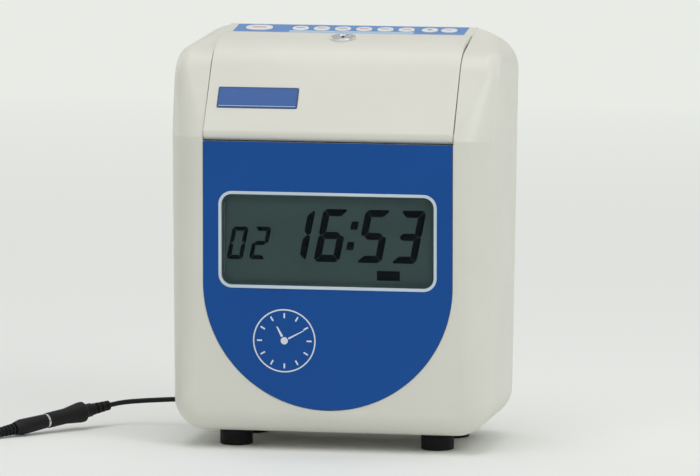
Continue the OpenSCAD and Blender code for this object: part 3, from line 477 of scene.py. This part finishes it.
def tieMesh(t, centre, outer):
    reach = leadRoute["diameter"] / 2 + t["room"]
    low = t["floorGap"]
    high = adapterRoute["low"] + (adapterRoute["layers"] - 1) * adapterRoute["layer"] + reach
    near = adapterRoute["innerRadius"] - reach - t["inside"]
    far = outer + reach + t["outside"]
    r = t["cornerR"]
    loop = []
    corners = ((far - r, high - r), (near + r, high - r), (near + r, low + r), (far - r, low + r))
    for quarter, (cornerX, cornerZ) in enumerate(corners):
        for j in range(t["cornerSteps"] + 1):
            outX, outZ = polar(1, 90 * (quarter + j / t["cornerSteps"]))
            loop.append((cornerX + r * outX, cornerZ + r * outZ, outX, outZ))
    along = Vector((*polar(1, t["angle"]), 0))
    across = Vector((-along.y, along.x, 0))
    points, faces = [], []
    for reachOut, up, outX, outZ in loop:
        thick = t["thick"] if outZ > t["underFrom"] else t["underThick"]
        for side in (-1, 1):
            for out in (0, thick):
                spot = centre + along * (reachOut + outX * out) + across * side * t["width"] / 2
                points.append(Vector((spot.x, spot.y, max(0.0, up + outZ * out))) * mm)
    for i in range(len(loop)):
        a, b = 4 * i, 4 * ((i + 1) % len(loop))
        faces += [(a + 1, b + 1, b + 3, a + 3), (a + 2, b + 2, b, a),
                  (a, b, b + 1, a + 1), (a + 3, b + 3, b + 2, a + 2)]
    mesh = meshFrom(points, faces, "coilTie")
    smoothByAngle(mesh, t["sharp"])
    return mesh


leadLine = eased([Vector(p) for p in leadRoute["points"]], leadRoute["easing"])
powerLead, leadLength = cordCurve("powerLead", leadLine)
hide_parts("power_lead")
leadLine[0] * mm
coilLine, coilCentre, coilOuter = coilRoute(adapterRoute)
adapterLead, adapterLength = cordCurve("adapterLead", coilLine)
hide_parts("adapter_lead", "lead_coil")
tie = newPiece("coilTie", tieMesh(coilTie, coilCentre, coilOuter), finishes["black_plastic"], "housing",
               "black_plastic")
coilLine[0] * mm
print("cords: %.3f m and %.3f m" % (leadLength, adapterLength))


# Housing: the same rounded corners as the solid, drawn over finely
shell = {"shoulderW": 171.0, "floorW": 165.0, "depth": 97.0, "front": 151.0, "ridge": 54.0, "wall": 2.8,
         "cornerR": 17.0, "edgeR": 12.0, "shoulderR": 23.5, "bendZ": 4.3, "bendR": 23.0, "bendEdge": 3.2,
         "browR": 21.0, "browEdge": 8.5, "browD": 38.5, "browZ": 25.0, "ridgeD": 71.0, "crownR": 18.0,
         "crownZ": 32.5, "fineSteps": 72, "plainSteps": 32, "merge": 0.001, "sharp": 24}
panelSeat = {"width": 130.0, "height": 138.0, "recess": 1.2, "seam": 0.2, "turnStep": 3, "windowW": 108.8,
             "windowLow": -72.9, "windowHigh": -28.1}
bay = {"width": 130.8, "back": 91.5, "top": 90.0, "cheek": 2.4, "cheekGap": 0.02, "cheekIn": 0.7,
       "cheekLow": -34.0, "cheekHigh": 66.0, "hinge": (3.5, 3.9), "hingeR": 1.65}
trough = {"front": 2.4, "back": 9.6, "low": -5.0, "floor": 2.0, "lip": 2.0, "high": 2.5, "overlap": 0.02}
coverSeat = {"width": 124.0, "low": -128.0, "high": 26.0, "seam": 0.2, "cut": 8.0, "rim": 2.0,
             "ledge": 6.0, "ledgeDepths": (89.5, 93.5), "collarDepths": (89.52, 95.5)}
glandHole = {"place": (84.1, -146.2), "radius": 2.9, "from": -86.5, "to": -68.0}
boardPosts = {"from": 2.4, "display": {"x": 59.4, "ups": (-70.9, -30.1), "radius": 2.4, "reach": 5.8},
              "main": {"x": 46.0, "ups": (-126.0, -84.0), "radius": 3.0, "reach": 22.0}}
footBosses = {"x": 53.0, "depth": 48.1, "apart": 23.0, "radius": 3.4, "low": -150.0, "high": -139.0}
past = 1.0                        # how far a cutter reaches past what it cuts


def roundDisc(centre, axis, ring, tube, n):   # points on a disc with a round edge
    third = "xyz".index(axis)
    first, second = [i for i in range(3) if i != third]
    half = n // 2
    points = []
    for i in range(n):
        around = 2 * math.pi * i / n
        for j in range(half + 1):
            tip = math.pi * (j / half - 0.5)
            reach = ring + tube * math.cos(tip)
            p = Vector(centre)
            p[first] += reach * math.cos(around)
            p[second] += reach * math.sin(around)
            p[third] += tube * math.sin(tip)
            points.append(p)
    return points


def skin(h, inset, n):            # the hull of the body's rounded corners, drawn in by an inset
    low = h["floorW"] / 2 - h["cornerR"]
    floor = h["cornerR"] - h["front"]
    half = h["shoulderW"] / 2
    bend = h["bendEdge"] - inset
    discs = [((low, h["edgeR"], floor), "y", h["cornerR"] - h["edgeR"], h["edgeR"] - inset),
             ((low, h["depth"] - h["cornerR"], floor), "z", 0, h["cornerR"] - inset),
             ((half - h["bendR"], h["bendR"], h["bendZ"] - h["bendEdge"]), "z",
              h["bendR"] - inset - bend, bend),
             ((half - h["browEdge"], h["browD"], h["browZ"]), "x", h["browR"] - h["browEdge"],
              h["browEdge"] - inset),
             ((half - h["shoulderR"], h["ridgeD"], h["ridge"] - h["shoulderR"]), "z", 0,
              h["shoulderR"] - inset),
             ((half - h["crownR"], h["depth"] - h["crownR"], h["crownZ"]), "z", 0, h["crownR"] - inset)]
    bm = bmesh.new()
    for disc in discs:
        for p in roundDisc(*disc, n):
            for side in (-1, 1):
                bm.verts.new(at(side * p.x, p.y, p.z))
    bmesh.ops.remove_doubles(bm, verts=bm.verts, dist=h["merge"] * mm)
    bmesh.ops.convex_hull(bm, input=bm.verts)
    bmesh.ops.delete(bm, geom=[v for v in bm.verts if not v.link_faces], context="VERTS")
    bmesh.ops.recalc_face_normals(bm, faces=bm.faces)
    return bm


def boxMesh(x0, x1, d0, d1, z0, z1):
    a, b = at(x0, d0, z0), at(x1, d1, z1)
    points = [(x, y, z) for x in (a.x, b.x) for y in (a.y, b.y) for z in (a.z, b.z)]
    faces = [(0, 1, 3, 2), (4, 6, 7, 5), (0, 4, 5, 1), (2, 3, 7, 6), (0, 2, 6, 4), (1, 5, 7, 3)]
    return meshFrom(points, faces, "block")


def outlineMesh(outline, d0, d1):  # an outline in x and height, from one depth to another
    n = len(outline)
    points = [at(x, d, z) for d in (d0, d1) for x, z in outline]
    faces = [tuple(range(n)), tuple(range(2 * n - 1, n - 1, -1))]
    faces += [((i + 1) % n, i, n + i, n + (i + 1) % n) for i in range(n)]
    return meshFrom(points, faces, "outline")


def rodMesh(radius, start, end, n=32):   # a rod between two places, each given as x, depth and height
    a, b = at(*start), at(*end)
    along = (b - a).normalized()
    side = along.orthogonal().normalized()
    up = along.cross(side)
    ring = [polar(1, 360 * i / n) for i in range(n)]
    points = [p + radius * mm * (side * u + up * v) for p in (a, b) for u, v in ring]
    faces = [tuple(range(n - 1, -1, -1)), tuple(range(n, 2 * n))]
    faces += [(i, (i + 1) % n, n + (i + 1) % n, n + i) for i in range(n)]
    return meshFrom(points, faces, "rod")


def panelOutline(p):              # straight sides over a half round lower end
    r = p["width"] / 2 + p["seam"]
    middle = p["width"] / 2 - p["height"]
    turn = [polar(r, angle) for angle in range(-180, 1, p["turnStep"])]
    return [(-r, p["seam"])] + [(x, middle + z) for x, z in turn] + [(r, p["seam"])]


def carve(mesh, cutter, operation="DIFFERENCE"):
    tool = bpy.data.objects.new("cutter", cutter)
    scene.collection.objects.link(tool)
    made = modified(mesh, "BOOLEAN", operation=operation, solver="EXACT", object=tool)
    bpy.data.objects.remove(tool)
    return made


def joined(meshes):
    bm = bmesh.new()
    for mesh in meshes:
        bm.from_mesh(mesh)
    return meshOf(bm, "joined")


def hollowBody(h):                # outer and inner skin, with the openings cut
    outer = skin(h, 0, h["fineSteps"])
    inner = skin(h, h["wall"], h["plainSteps"])
    bmesh.ops.reverse_faces(inner, faces=inner.faces)
    mesh = joined([meshOf(outer, "outerSkin"), meshOf(inner, "innerSkin")])
    bayHalf, windowHalf = bay["width"] / 2, panelSeat["windowW"] / 2
    coverHalf = coverSeat["width"] / 2 + coverSeat["seam"]
    hole = glandHole
    cutters = [boxMesh(-bayHalf, bayHalf, -past, bay["back"], 0, bay["top"]),
               outlineMesh(panelOutline(panelSeat), -past, panelSeat["recess"]),
               boxMesh(-windowHalf, windowHalf, -past, h["wall"] + past, panelSeat["windowLow"],
                       panelSeat["windowHigh"]),
               boxMesh(-coverHalf, coverHalf, h["depth"] - coverSeat["cut"], h["depth"] + past,
                       coverSeat["low"] - coverSeat["seam"], coverSeat["high"] + coverSeat["seam"]),
               rodMesh(hole["radius"], (hole["from"], *hole["place"]), (hole["to"], *hole["place"]))]
    for cutter in cutters:
        mesh = carve(mesh, cutter)
    return mesh


def bayCheeks(h):                 # walls beside the bay, each with a hole for the lid's hinge pin
    bound = meshOf(skin(h, bay["cheekIn"], h["plainSteps"]), "cheekBound")
    side = bay["width"] / 2
    cheeks = []
    for s in (-1, 1):
        x0, x1 = sorted((s * (side + bay["cheekGap"]), s * (side + bay["cheek"])))
        slab = boxMesh(x0, x1, 0, bay["back"], bay["cheekLow"], bay["cheekHigh"])
        slab = carve(slab, bound, "INTERSECT")
        pin = rodMesh(bay["hingeR"], (x0 - past, *bay["hinge"]), (x1 + past, *bay["hinge"]))
        cheeks.append(carve(slab, pin))
    return cheeks


def coverRims(c):                 # ledge and collar that hold the rear cover, four bars each
    low, high, half, rim = c["low"], c["high"], c["width"] / 2, c["rim"]
    bars = []
    for hole, depths in ((-c["ledge"], c["ledgeDepths"]), (c["seam"], c["collarDepths"])):
        bars += [boxMesh(-half - rim, -half - hole, *depths, low - rim, high + rim),
                 boxMesh(half + hole, half + rim, *depths, low - rim, high + rim),
                 boxMesh(-half - hole, half + hole, *depths, low - rim, low - hole),
                 boxMesh(-half - hole, half + hole, *depths, high + hole, high + rim)]
    return bars


def lidTrough(t):                 # floor and back wall under the lid's rolled edge
    side = bay["width"] / 2
    return [boxMesh(-side, side, t["front"], t["back"], t["low"], t["low"] + t["floor"]),
            boxMesh(-side, side, t["back"] - t["lip"], t["back"], t["low"] + t["overlap"], t["high"])]


def innerPosts():                 # posts of the display board and the main board, bosses of the feet
    rods = []
    for post in (boardPosts["display"], boardPosts["main"]):
        for x in (-post["x"], post["x"]):
            rods += [rodMesh(post["radius"], (x, boardPosts["from"], up), (x, post["reach"], up))
                     for up in post["ups"]]
    boss = footBosses
    for x in (-boss["x"], boss["x"]):
        for depth in (boss["depth"] - boss["apart"], boss["depth"] + boss["apart"]):
            rods.append(rodMesh(boss["radius"], (x, depth, boss["low"]), (x, depth, boss["high"])))
    return rods


def housingMesh(h):
    parts = [hollowBody(h)] + bayCheeks(h) + coverRims(coverSeat) + lidTrough(trough) + innerPosts()
    for part in parts:
        smoothByAngle(part, h["sharp"])
    return evenShading(joined(parts))


housing = newPiece("housingShell", housingMesh(shell), finishes["ivory"], "housing", "ivory", ["housing"])
print("housing:", len(housing.data.polygons), "faces")


# Visible solids, with their edges broken as moulded or turned ones are; widths in mm
edgeBreaks = {"lid": 0.22, "key_deck": 0.3, "card_throat": 0.4, "rear_cover": 0.3, "front_panel": 0.15,
              "display_frame": 0.25, "key_strip": 0.1, "lid_badge": 0.15, "lock_barrel": 0.35,
              "lock_plug": 0.15, "rubber_feet": 0.7, "wall_adapter": 0.8, "dc_socket": 0.25,
              "dc_plug": 0.25, "cord_gland": 0.15, "ribbon_cassette": 0.4, "ribbon_knob": 0.25,
              "display_window": 0.1, "key_main": 0.2, "carriage": 0.4, "print_head": 0.3}
for name in ("key_1", "key_2", "key_3", "key_4", "key_5", "key_6", "key_left", "key_right"):
    edgeBreaks[name] = 0.12
edging = {"merge": 0.002, "flat": 0.5, "bevelFrom": 40, "segments": 2, "sharp": 38}


def camel(name):
    first, *rest = name.split("_")
    return first + "".join(word.capitalize() for word in rest)


def brokenEdges(node, width):
    bm = bmesh.new()
    bm.from_mesh(nodes[node].data)
    bmesh.ops.remove_doubles(bm, verts=bm.verts, dist=edging["merge"] * mm)
    bmesh.ops.dissolve_limit(bm, angle_limit=math.radians(edging["flat"]), verts=bm.verts, edges=bm.edges)
    mesh = modified(meshOf(bm, camel(node)), "BEVEL", width=width * mm, segments=edging["segments"],
                    limit_method="ANGLE", angle_limit=math.radians(edging["bevelFrom"]),
                    miter_outer="MITER_ARC")
    smoothByAngle(mesh, edging["sharp"])
    return evenShading(mesh)


for node, width in edgeBreaks.items():
    newPiece(camel(node) + "Dressed", brokenEdges(node, width), finishes[slotOf[node]], bodyOf[node],
             slotOf[node], [node])
print("edges broken on", len(edgeBreaks), "solids")


# Display: a dark border and slanted segments behind the window. Each row is a digit, its left edge,
# foot, width, height and bar, in mm from the middle and from the panel's top edge
displayMask = {"wide": 110.8, "high": 46.8, "corner": 5.4, "up": -50.5, "inset": 0.05, "border": 1.3,
               "depth": 1.15}
digits = {"depth": 2.72, "slant": 11.3, "gap": 0.14, "trim": 0.45,
          "rows": [(0, -53.4, -61.1, 8.4, 16.9, 2.2), (2, -41.7, -60.9, 8.6, 16.9, 2.2),
                   (1, -25.5, -61.5, 13.5, 27.4, 3.7), (6, -7.9, -61.5, 13.5, 27.4, 3.7),
                   (5, 14.1, -61.5, 13.5, 27.4, 3.7), (3, 32.2, -61.5, 13.5, 27.4, 3.7)],
          "dots": [(11.4, -44.5), (9.2, -55.1)], "dotSize": (3.7, 4.2), "day": (25.3, -70.5),
          "daySize": (12.0, 5.0)}
segments = {0: "abcdef", 1: "bc", 2: "abdeg", 3: "abcdg", 5: "acdfg", 6: "acdefg"}


def segmentShapes(wide, tall, bar):
    gap, cut, half = digits["gap"], bar * digits["trim"], tall / 2
    top = [(gap + cut, tall), (wide - gap - cut, tall), (wide - gap - cut / 2, tall - cut / 2),
           (wide - gap - bar, tall - bar), (gap + bar, tall - bar), (gap + cut / 2, tall - cut / 2)]
    left = [(0, tall - gap - cut), (cut / 2, tall - gap - cut / 2), (bar, tall - gap - bar),
            (bar, half + bar / 2 + gap), (bar / 2, half + gap), (cut / 2, half + gap),
            (0, half + gap + cut / 2)]
    middle = [(bar / 2 + gap, half), (bar + gap, half + bar / 2), (wide - bar - gap, half + bar / 2),
              (wide - bar / 2 - gap, half), (wide - bar - gap, half - bar / 2),
              (bar + gap, half - bar / 2)]

    def over(shape):
        return [(x, tall - y) for x, y in shape][::-1]

    def across(shape):
        return [(wide - x, y) for x, y in shape][::-1]

    return {"a": top, "b": across(left), "c": across(over(left)), "d": over(top), "e": over(left),
            "f": left, "g": middle}


def displayMesh(d):
    points, faces = [], []
    lean = math.tan(math.radians(d["slant"]))

    def flat(shape, x, z, slant):
        first = len(points)
        points.extend(at(x + px + pz * slant, d["depth"], z + pz) for px, pz in shape)
        faces.append(tuple(range(first, first + len(shape))))

    def block(wide, high):
        return [(0, 0), (wide, 0), (wide, high), (0, high)]

    for digit, x, z, wide, tall, bar in d["rows"]:
        shapes = segmentShapes(wide, tall, bar)
        for key in segments[digit]:
            flat(shapes[key], x, z, lean)
    for x, z in d["dots"]:
        flat(block(*d["dotSize"]), x, z, lean)
    flat(block(*d["daySize"]), *d["day"], 0.0)
    return meshFrom(points, faces, "digits")


def roundedOutline(wide, high, r, up, steps=12):
    corners = ((1, 1, 0), (-1, 1, 90), (-1, -1, 180), (1, -1, 270))
    outline = []
    for sideX, sideZ, start in corners:
        for i in range(steps + 1):
            x, z = polar(r, start + 90 * i / steps)
            outline.append((sideX * (wide / 2 - r) + x, up + sideZ * (high / 2 - r) + z))
    return outline


def maskMesh(m):
    rings = [roundedOutline(m["wide"] - 2 * t, m["high"] - 2 * t, m["corner"] - t, m["up"])
             for t in (m["inset"], m["border"])]
    n = len(rings[0])
    points = [at(x, m["depth"], z) for ring in rings for x, z in ring]
    return meshFrom(points, [(i, n + i, n + (i + 1) % n, (i + 1) % n) for i in range(n)], "mask")


newPiece("displayMask", maskMesh(displayMask), finishes["lcd"], "housing", "lcd")
newPiece("displayDigits", displayMesh(digits), inks["dark"], "housing", "lcd")
print("display drawn")


# Emblem on the panel: a plain clock dial; each hand is an angle, a length and a width
emblem = {"x": -22.5, "up": -102.4, "lift": 0.06, "radius": 16.4, "line": 0.7, "ringSteps": 96,
          "hub": 1.9, "hubSteps": 32, "handFrom": 2.4, "hands": ((118, 8.2, 1.3), (28, 11.6, 0.9)),
          "ticks": 12, "tickIn": 3.4, "tickLong": 2.6, "tickWide": 0.8, "tickThick": 0.1}


def ringFaces(points, faces, e, inner, outer, depth, n):
    first = len(points)
    for i in range(n + 1):
        for radius in (inner, outer):
            x, z = polar(radius, 360 * i / n)
            points.append(at(e["x"] + x, depth, e["up"] + z))
    for a in range(first, first + 2 * n, 2):
        faces.append((a, a + 2, a + 3, a + 1))


def emblemMesh(e):
    points, faces = [], []
    depth = -panelProud - e["lift"]
    ringFaces(points, faces, e, e["radius"] - e["line"], e["radius"], depth, e["ringSteps"])
    ringFaces(points, faces, e, 0.0, e["hub"], depth, e["hubSteps"])
    root = e["handFrom"]
    for angle, long, wide in e["hands"]:
        c, s = polar(1, angle)
        first = len(points)
        for u, v in ((root, -wide / 2), (long, -wide / 4), (long, wide / 4), (root, wide / 2)):
            points.append(at(e["x"] + u * c - v * s, depth, e["up"] + u * s + v * c))
        faces.append(tuple(range(first, first + 4)))
    return meshFrom(points, faces, "emblem")


def geometryTree(name, sizes):
    tree = bpy.data.node_groups.new(name, "GeometryNodeTree")
    tree.is_modifier = True
    tree.interface.new_socket("Geometry", in_out="INPUT", socket_type="NodeSocketGeometry")
    kinds = {int: "NodeSocketInt", float: "NodeSocketFloat", bpy.types.Material: "NodeSocketMaterial"}
    for key, value in sizes.items():
        tree.interface.new_socket(key, in_out="INPUT", socket_type=kinds[type(value)])
    tree.interface.new_socket("Geometry", in_out="OUTPUT", socket_type="NodeSocketGeometry")
    return tree, tree.nodes.new("NodeGroupInput"), tree.nodes.new("NodeGroupOutput")


def treeNode(tree, kind, links=None, **settings):
    made = tree.nodes.new(kind)
    for key, value in settings.items():
        setattr(made, key, value)
    for key, socket in (links or {}).items():
        tree.links.new(socket, made.inputs[key])
    return made


def barTree(name, sizes, spread):   # one bar on each point that spread gives
    tree, start, end = geometryTree(name, sizes)
    points, turn = spread(tree, start.outputs)
    size = treeNode(tree, "ShaderNodeCombineXYZ", {axis: start.outputs["Size" + axis] for axis in "XYZ"})
    bar = treeNode(tree, "GeometryNodeMeshCube", {"Size": size.outputs[0]})
    links = {"Points": points, "Instance": bar.outputs[0]}
    if turn:
        links["Rotation"] = turn
    bars = treeNode(tree, "GeometryNodeInstanceOnPoints", links)
    real = treeNode(tree, "GeometryNodeRealizeInstances", {0: bars.outputs[0]})
    paint = treeNode(tree, "GeometryNodeSetMaterial",
                     {"Geometry": real.outputs[0], "Material": start.outputs["Finish"]})
    tree.links.new(paint.outputs[0], end.inputs[0])
    return tree


def roundDial(tree, given):         # points on a circle, each bar turned outwards
    circle = treeNode(tree, "GeometryNodeMeshCircle",
                      {"Vertices": given["Count"], "Radius": given["Radius"]})
    place = treeNode(tree, "GeometryNodeInputPosition")
    turn = treeNode(tree, "FunctionNodeAlignRotationToVector", {"Vector": place.outputs[0]}, axis="X")
    return circle.outputs[0], turn.outputs[0]


def straightRow(tree, given):       # points along x, a step apart
    step = treeNode(tree, "ShaderNodeCombineXYZ", {"X": given["Step"]})
    line = treeNode(tree, "GeometryNodeMeshLine", {"Count": given["Count"], "Offset": step.outputs[0]})
    return line.outputs[0], None


def grown(name, spread, sizes):
    tree = barTree(name, sizes, spread)
    inputs = {item.identifier: sizes[item.name] for item in tree.interface.items_tree
              if item.in_out == "INPUT" and item.name in sizes}
    return modified(bpy.data.meshes.new(name), "NODES", inputs, node_group=tree)


def dialTicks(e):
    mesh = grown("dialTicks", roundDial,
                 {"Count": e["ticks"], "Radius": (e["radius"] - e["tickIn"]) * mm,
                  "SizeX": e["tickLong"] * mm, "SizeY": e["tickWide"] * mm, "SizeZ": e["tickThick"] * mm,
                  "Finish": inks["pale"]})
    centre = at(e["x"], -panelProud, e["up"])
    mesh.transform(Matrix.Translation(centre) @ Matrix.Rotation(math.radians(90), 4, "X"))
    return mesh


newPiece("panelEmblem", emblemMesh(emblem), inks["pale"], "housing", "frame_trim")
newPiece("panelEmblemTicks", dialTicks(emblem), inks["pale"], "housing", "frame_trim")
print("emblem set on the panel")


# Marks on the keys and a light band on the strip. The deck's own frame is x, back along it and up from
# its face; a mark is a key's x, an ink and bars, each given as middle x, middle y, width and height
deck = {"front": 54.4, "high": 51.656, "tilt": 8.0, "keyBack": 9.6, "keyTop": 0.5, "ink": 0.03}
keyRow = {"first": -26.6, "pitch": 11.2, "count": 6, "bar": (0, 0, 4.4, 1.1), "bandGapR": 4.8}
rowX = [keyRow["first"] + keyRow["pitch"] * i for i in range(keyRow["count"])]
keyMarks = {"key_main": (-48.5, "red", [(0, 0, 7.4, 1.5)])}
for i, x in enumerate(rowX):
    keyMarks["key_%d" % (i + 1)] = (x, ("blue", "red")[i % 2], [keyRow["bar"]])
keyMarks["key_left"] = (41.7, "blue", [(0, 0, 3.2, 0.8), (0, 1.0, 0.8, 1.2), (0, -1.0, 0.8, 1.2)])
keyMarks["key_right"] = (51.9, "blue", [(0, 0, 3.2, 0.8)])
stripBand = {"left": -31.4, "right": 34.2, "near": 1.15, "far": 5.6}


def onDeck(x, back, up):
    c, s = polar(1, deck["tilt"])
    return at(x, deck["front"] + back * c - up * s, deck["high"] + back * s + up * c)


def barMesh(bars, place):
    points, faces = [], []
    for x, y, wide, high in bars:
        first = len(points)
        points += [place(x + sideX * wide / 2, y + sideY * high / 2)
                   for sideX, sideY in ((-1, -1), (1, -1), (1, 1), (-1, 1))]
        faces.append(tuple(range(first, first + 4)))
    return meshFrom(points, faces, "bars")


def bandMesh(b):                   # the band goes round the near side of each key of the row
    outline = [(b["left"], b["near"]), (b["right"], b["near"]), (b["right"], b["far"])]
    r = keyRow["bandGapR"]
    reach = math.degrees(math.acos((deck["keyBack"] - b["far"]) / r))
    for keyX in reversed(rowX):
        for angle in (reach, reach / 2, 0, -reach / 2, -reach):
            near, aside = polar(r, angle)
            outline.append((keyX + aside, deck["keyBack"] - near))
    outline.append((b["left"], b["far"]))
    points = [onDeck(x, back, deck["ink"]) for x, back in outline]
    return meshFrom(points, [tuple(range(len(outline)))], "band")


for name, (keyX, ink, bars) in keyMarks.items():
    mesh = barMesh(bars, lambda u, v: onDeck(keyX + u, deck["keyBack"] + v, deck["keyTop"] + deck["ink"]))
    newPiece(camel(name) + "Mark", mesh, inks[ink], name, "strip_blue")
newPiece("stripBand", bandMesh(stripBand), inks["sky"], "housing", "strip_blue")
print("keys marked:", len(keyMarks))


# Painted shade round the badge's edge and a painted highlight line near its lower edge, the bare barrel of
# the plug and the adapter's pins
# rim bars are painted shade round the badge's edges; the line is a painted highlight near its lower edge
badge = {"x": -38.5, "along": 20.0, "footUp": 4.9, "slope": 56.535, "wide": 42.0, "high": 12.0,
         "out": 0.43, "rim": 0.4, "rimIn": 0.25, "lineUp": 1.0, "lineHigh": 0.35, "lineIn": 0.8}
plugRing = {"radius": 3.78, "from": 0.1, "long": 1.3, "facets": 40}
adapterPins = {"sides": {"Left": -6.5, "Right": 6.5}, "up": 14.0, "long": 9.5, "radius": 2.03,
               "facets": 28}
ringSharp = 40


def onBadge(u, v):
    c, s = polar(1, badge["slope"])
    run = badge["along"] + v
    return at(badge["x"] + u, run * c - badge["out"] * s, badge["footUp"] + run * s + badge["out"] * c)


# dark bars on the badge's border: painted shade of the gap and edges round the raised plate
def badgeRim(b):
    wide, high, rim = b["wide"] - 2 * b["rimIn"], b["high"] - 2 * b["rimIn"], b["rim"]
    upright = high - 2 * rim
    return barMesh([(0, high / 2 - rim / 2, wide, rim), (0, rim / 2 - high / 2, wide, rim),
                    (rim / 2 - wide / 2, 0, rim, upright), (wide / 2 - rim / 2, 0, rim, upright)], onBadge)


# a light bar near the badge's lower edge: painted highlight on the plate's rounded lower edge
def badgeLine(b):
    return barMesh([(0, b["lineUp"] - b["high"] / 2, b["wide"] - 2 * b["lineIn"], b["lineHigh"])], onBadge)


def ringMesh(base, away, radius, long, n):
    side = away.cross(Vector((0, 0, 1))).normalized()
    up = side.cross(away)
    ring = [polar(radius, 360 * i / n) for i in range(n)]
    points = [(base + away * d + side * u + up * v) * mm for d in (0, long) for u, v in ring]
    faces = [(i, n + i, n + (i + 1) % n, (i + 1) % n) for i in range(n)]
    faces += [tuple(range(n)), tuple(range(2 * n - 1, n - 1, -1))]
    mesh = meshFrom(points, faces, "ring")
    smoothByAngle(mesh, ringSharp)
    return mesh


# painted shade round the badge's edge
newPiece("badgeRim", badgeRim(badge), inks["rim"], "lid", "panel_blue")
# painted highlight line on the badge
newPiece("badgeLine", badgeLine(badge), inks["sky"], "lid", "strip_blue")
barrel = ringMesh(joinSpot + joinAway * plugRing["from"], joinAway, plugRing["radius"], plugRing["long"],
                  plugRing["facets"])
newPiece("plugBarrel", barrel, finishes["lock_metal"], "housing", "lock_metal")
adapterLow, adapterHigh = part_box("wall_adapter")
for side, x in adapterPins["sides"].items():
    root = Vector(((adapterLow.x + adapterHigh.x) / 2 / mm + x, adapterHigh.y / mm - adapterPins["long"],
                   adapterPins["up"]))
    pin = ringMesh(root, Vector((0, 1, 0)), adapterPins["radius"], adapterPins["long"],
                   adapterPins["facets"])
    newPiece("adapterPin" + side, pin, finishes["lock_metal"], "housing", "lock_metal")
print("small fittings set")


# Grip ribs on the ribbon cassette, seen with the lid open
cassetteRibs = {"count": 9, "step": 3.0, "wide": 1.3, "long": 13.0, "high": 0.7, "x": -44.0, "depth": 51.0,
                "up": 28.2}


def ribRow(r):
    mesh = grown("ribRow", straightRow,
                 {"Count": r["count"], "Step": r["step"] * mm, "SizeX": r["wide"] * mm,
                  "SizeY": r["long"] * mm, "SizeZ": r["high"] * mm, "Finish": finishes["black_plastic"]})
    mesh.transform(Matrix.Translation(at(r["x"], r["depth"], r["up"])))
    return mesh


newPiece("cassetteRibs", ribRow(cassetteRibs), finishes["black_plastic"], "housing", "black_plastic")
print("cassette ribbed")


# Floor and studio light, in metres; each lamp is a power, a size and a place. Far from the object the
# floor turns into a plain backdrop
studio = {"floor": (0.86, 0.875, 0.85, 1), "near": shade(227, 230, 225), "far": shade(233, 236, 230),
          "floorSize": 30, "floorBack": 6.0, "fadeFrom": 0.2, "fadeTo": 1.8, "world": 0.5, "aimUp": 0.1,
          "lamps": {"keyLight": (5.8, 0.8, (1.05, -0.95, 1.15)),
                    "browLight": (4.4, 1.0, (-0.3, -1.3, 2.2)), "topLight": (17.5, 1.6, (0.0, -0.1, 2.6)),
                    "leftRim": (5.0, 1.2, (-1.9, 1.2, 0.7)), "rightRim": (3.5, 1.2, (1.9, 1.2, 0.7))}}


def floorFinish(s):
    p = Paint("studioFloor")
    back = p.node("SeparateXYZ", links={0: p.place()}, out="Y")
    start, end = s["fadeFrom"] - s["floorBack"], s["fadeTo"] - s["floorBack"]
    away = p.node("MapRange", links={0: back, 1: start, 2: end, 3: 0.0, 4: 1.0})
    seen = (p.node("LightPath", out="Is Camera Ray") + p.node("LightPath", out="Is Glossy Ray")
            + p.node("LightPath", out="Is Transmission Ray"))
    plain = p.node("BsdfDiffuse", links={"Color": s["floor"]})
    glow = p.node("Emission", links={"Color": p.mix(away, s["near"], s["far"])})
    return p.surface(p.node("MixShader", links={0: seen * away, 1: plain, 2: glow}))


def lightUp(s):
    bpy.ops.mesh.primitive_plane_add(size=s["floorSize"], location=(0, s["floorBack"], 0))
    floor = bpy.context.object
    floor.name = "studioFloor"
    floor.data.materials.append(floorFinish(s))
    world = bpy.data.worlds.new("studioWorld")
    scene.world = world
    world.use_nodes = True
    sky = world.node_tree.nodes["Background"]
    sky.inputs["Color"].default_value = grey(1)
    sky.inputs["Strength"].default_value = s["world"]
    for name, (power, size, spot) in s["lamps"].items():
        lamp = bpy.data.lights.new(name, "AREA")
        lamp.energy, lamp.size = power, size
        holder = bpy.data.objects.new(name, lamp)
        scene.collection.objects.link(holder)
        holder.location = spot
        aim = Vector((0, 0, s["aimUp"])) - Vector(spot)
        holder.rotation_euler = aim.to_track_quat("-Z", "Y").to_euler()


lightUp(studio)
print("studio lit")
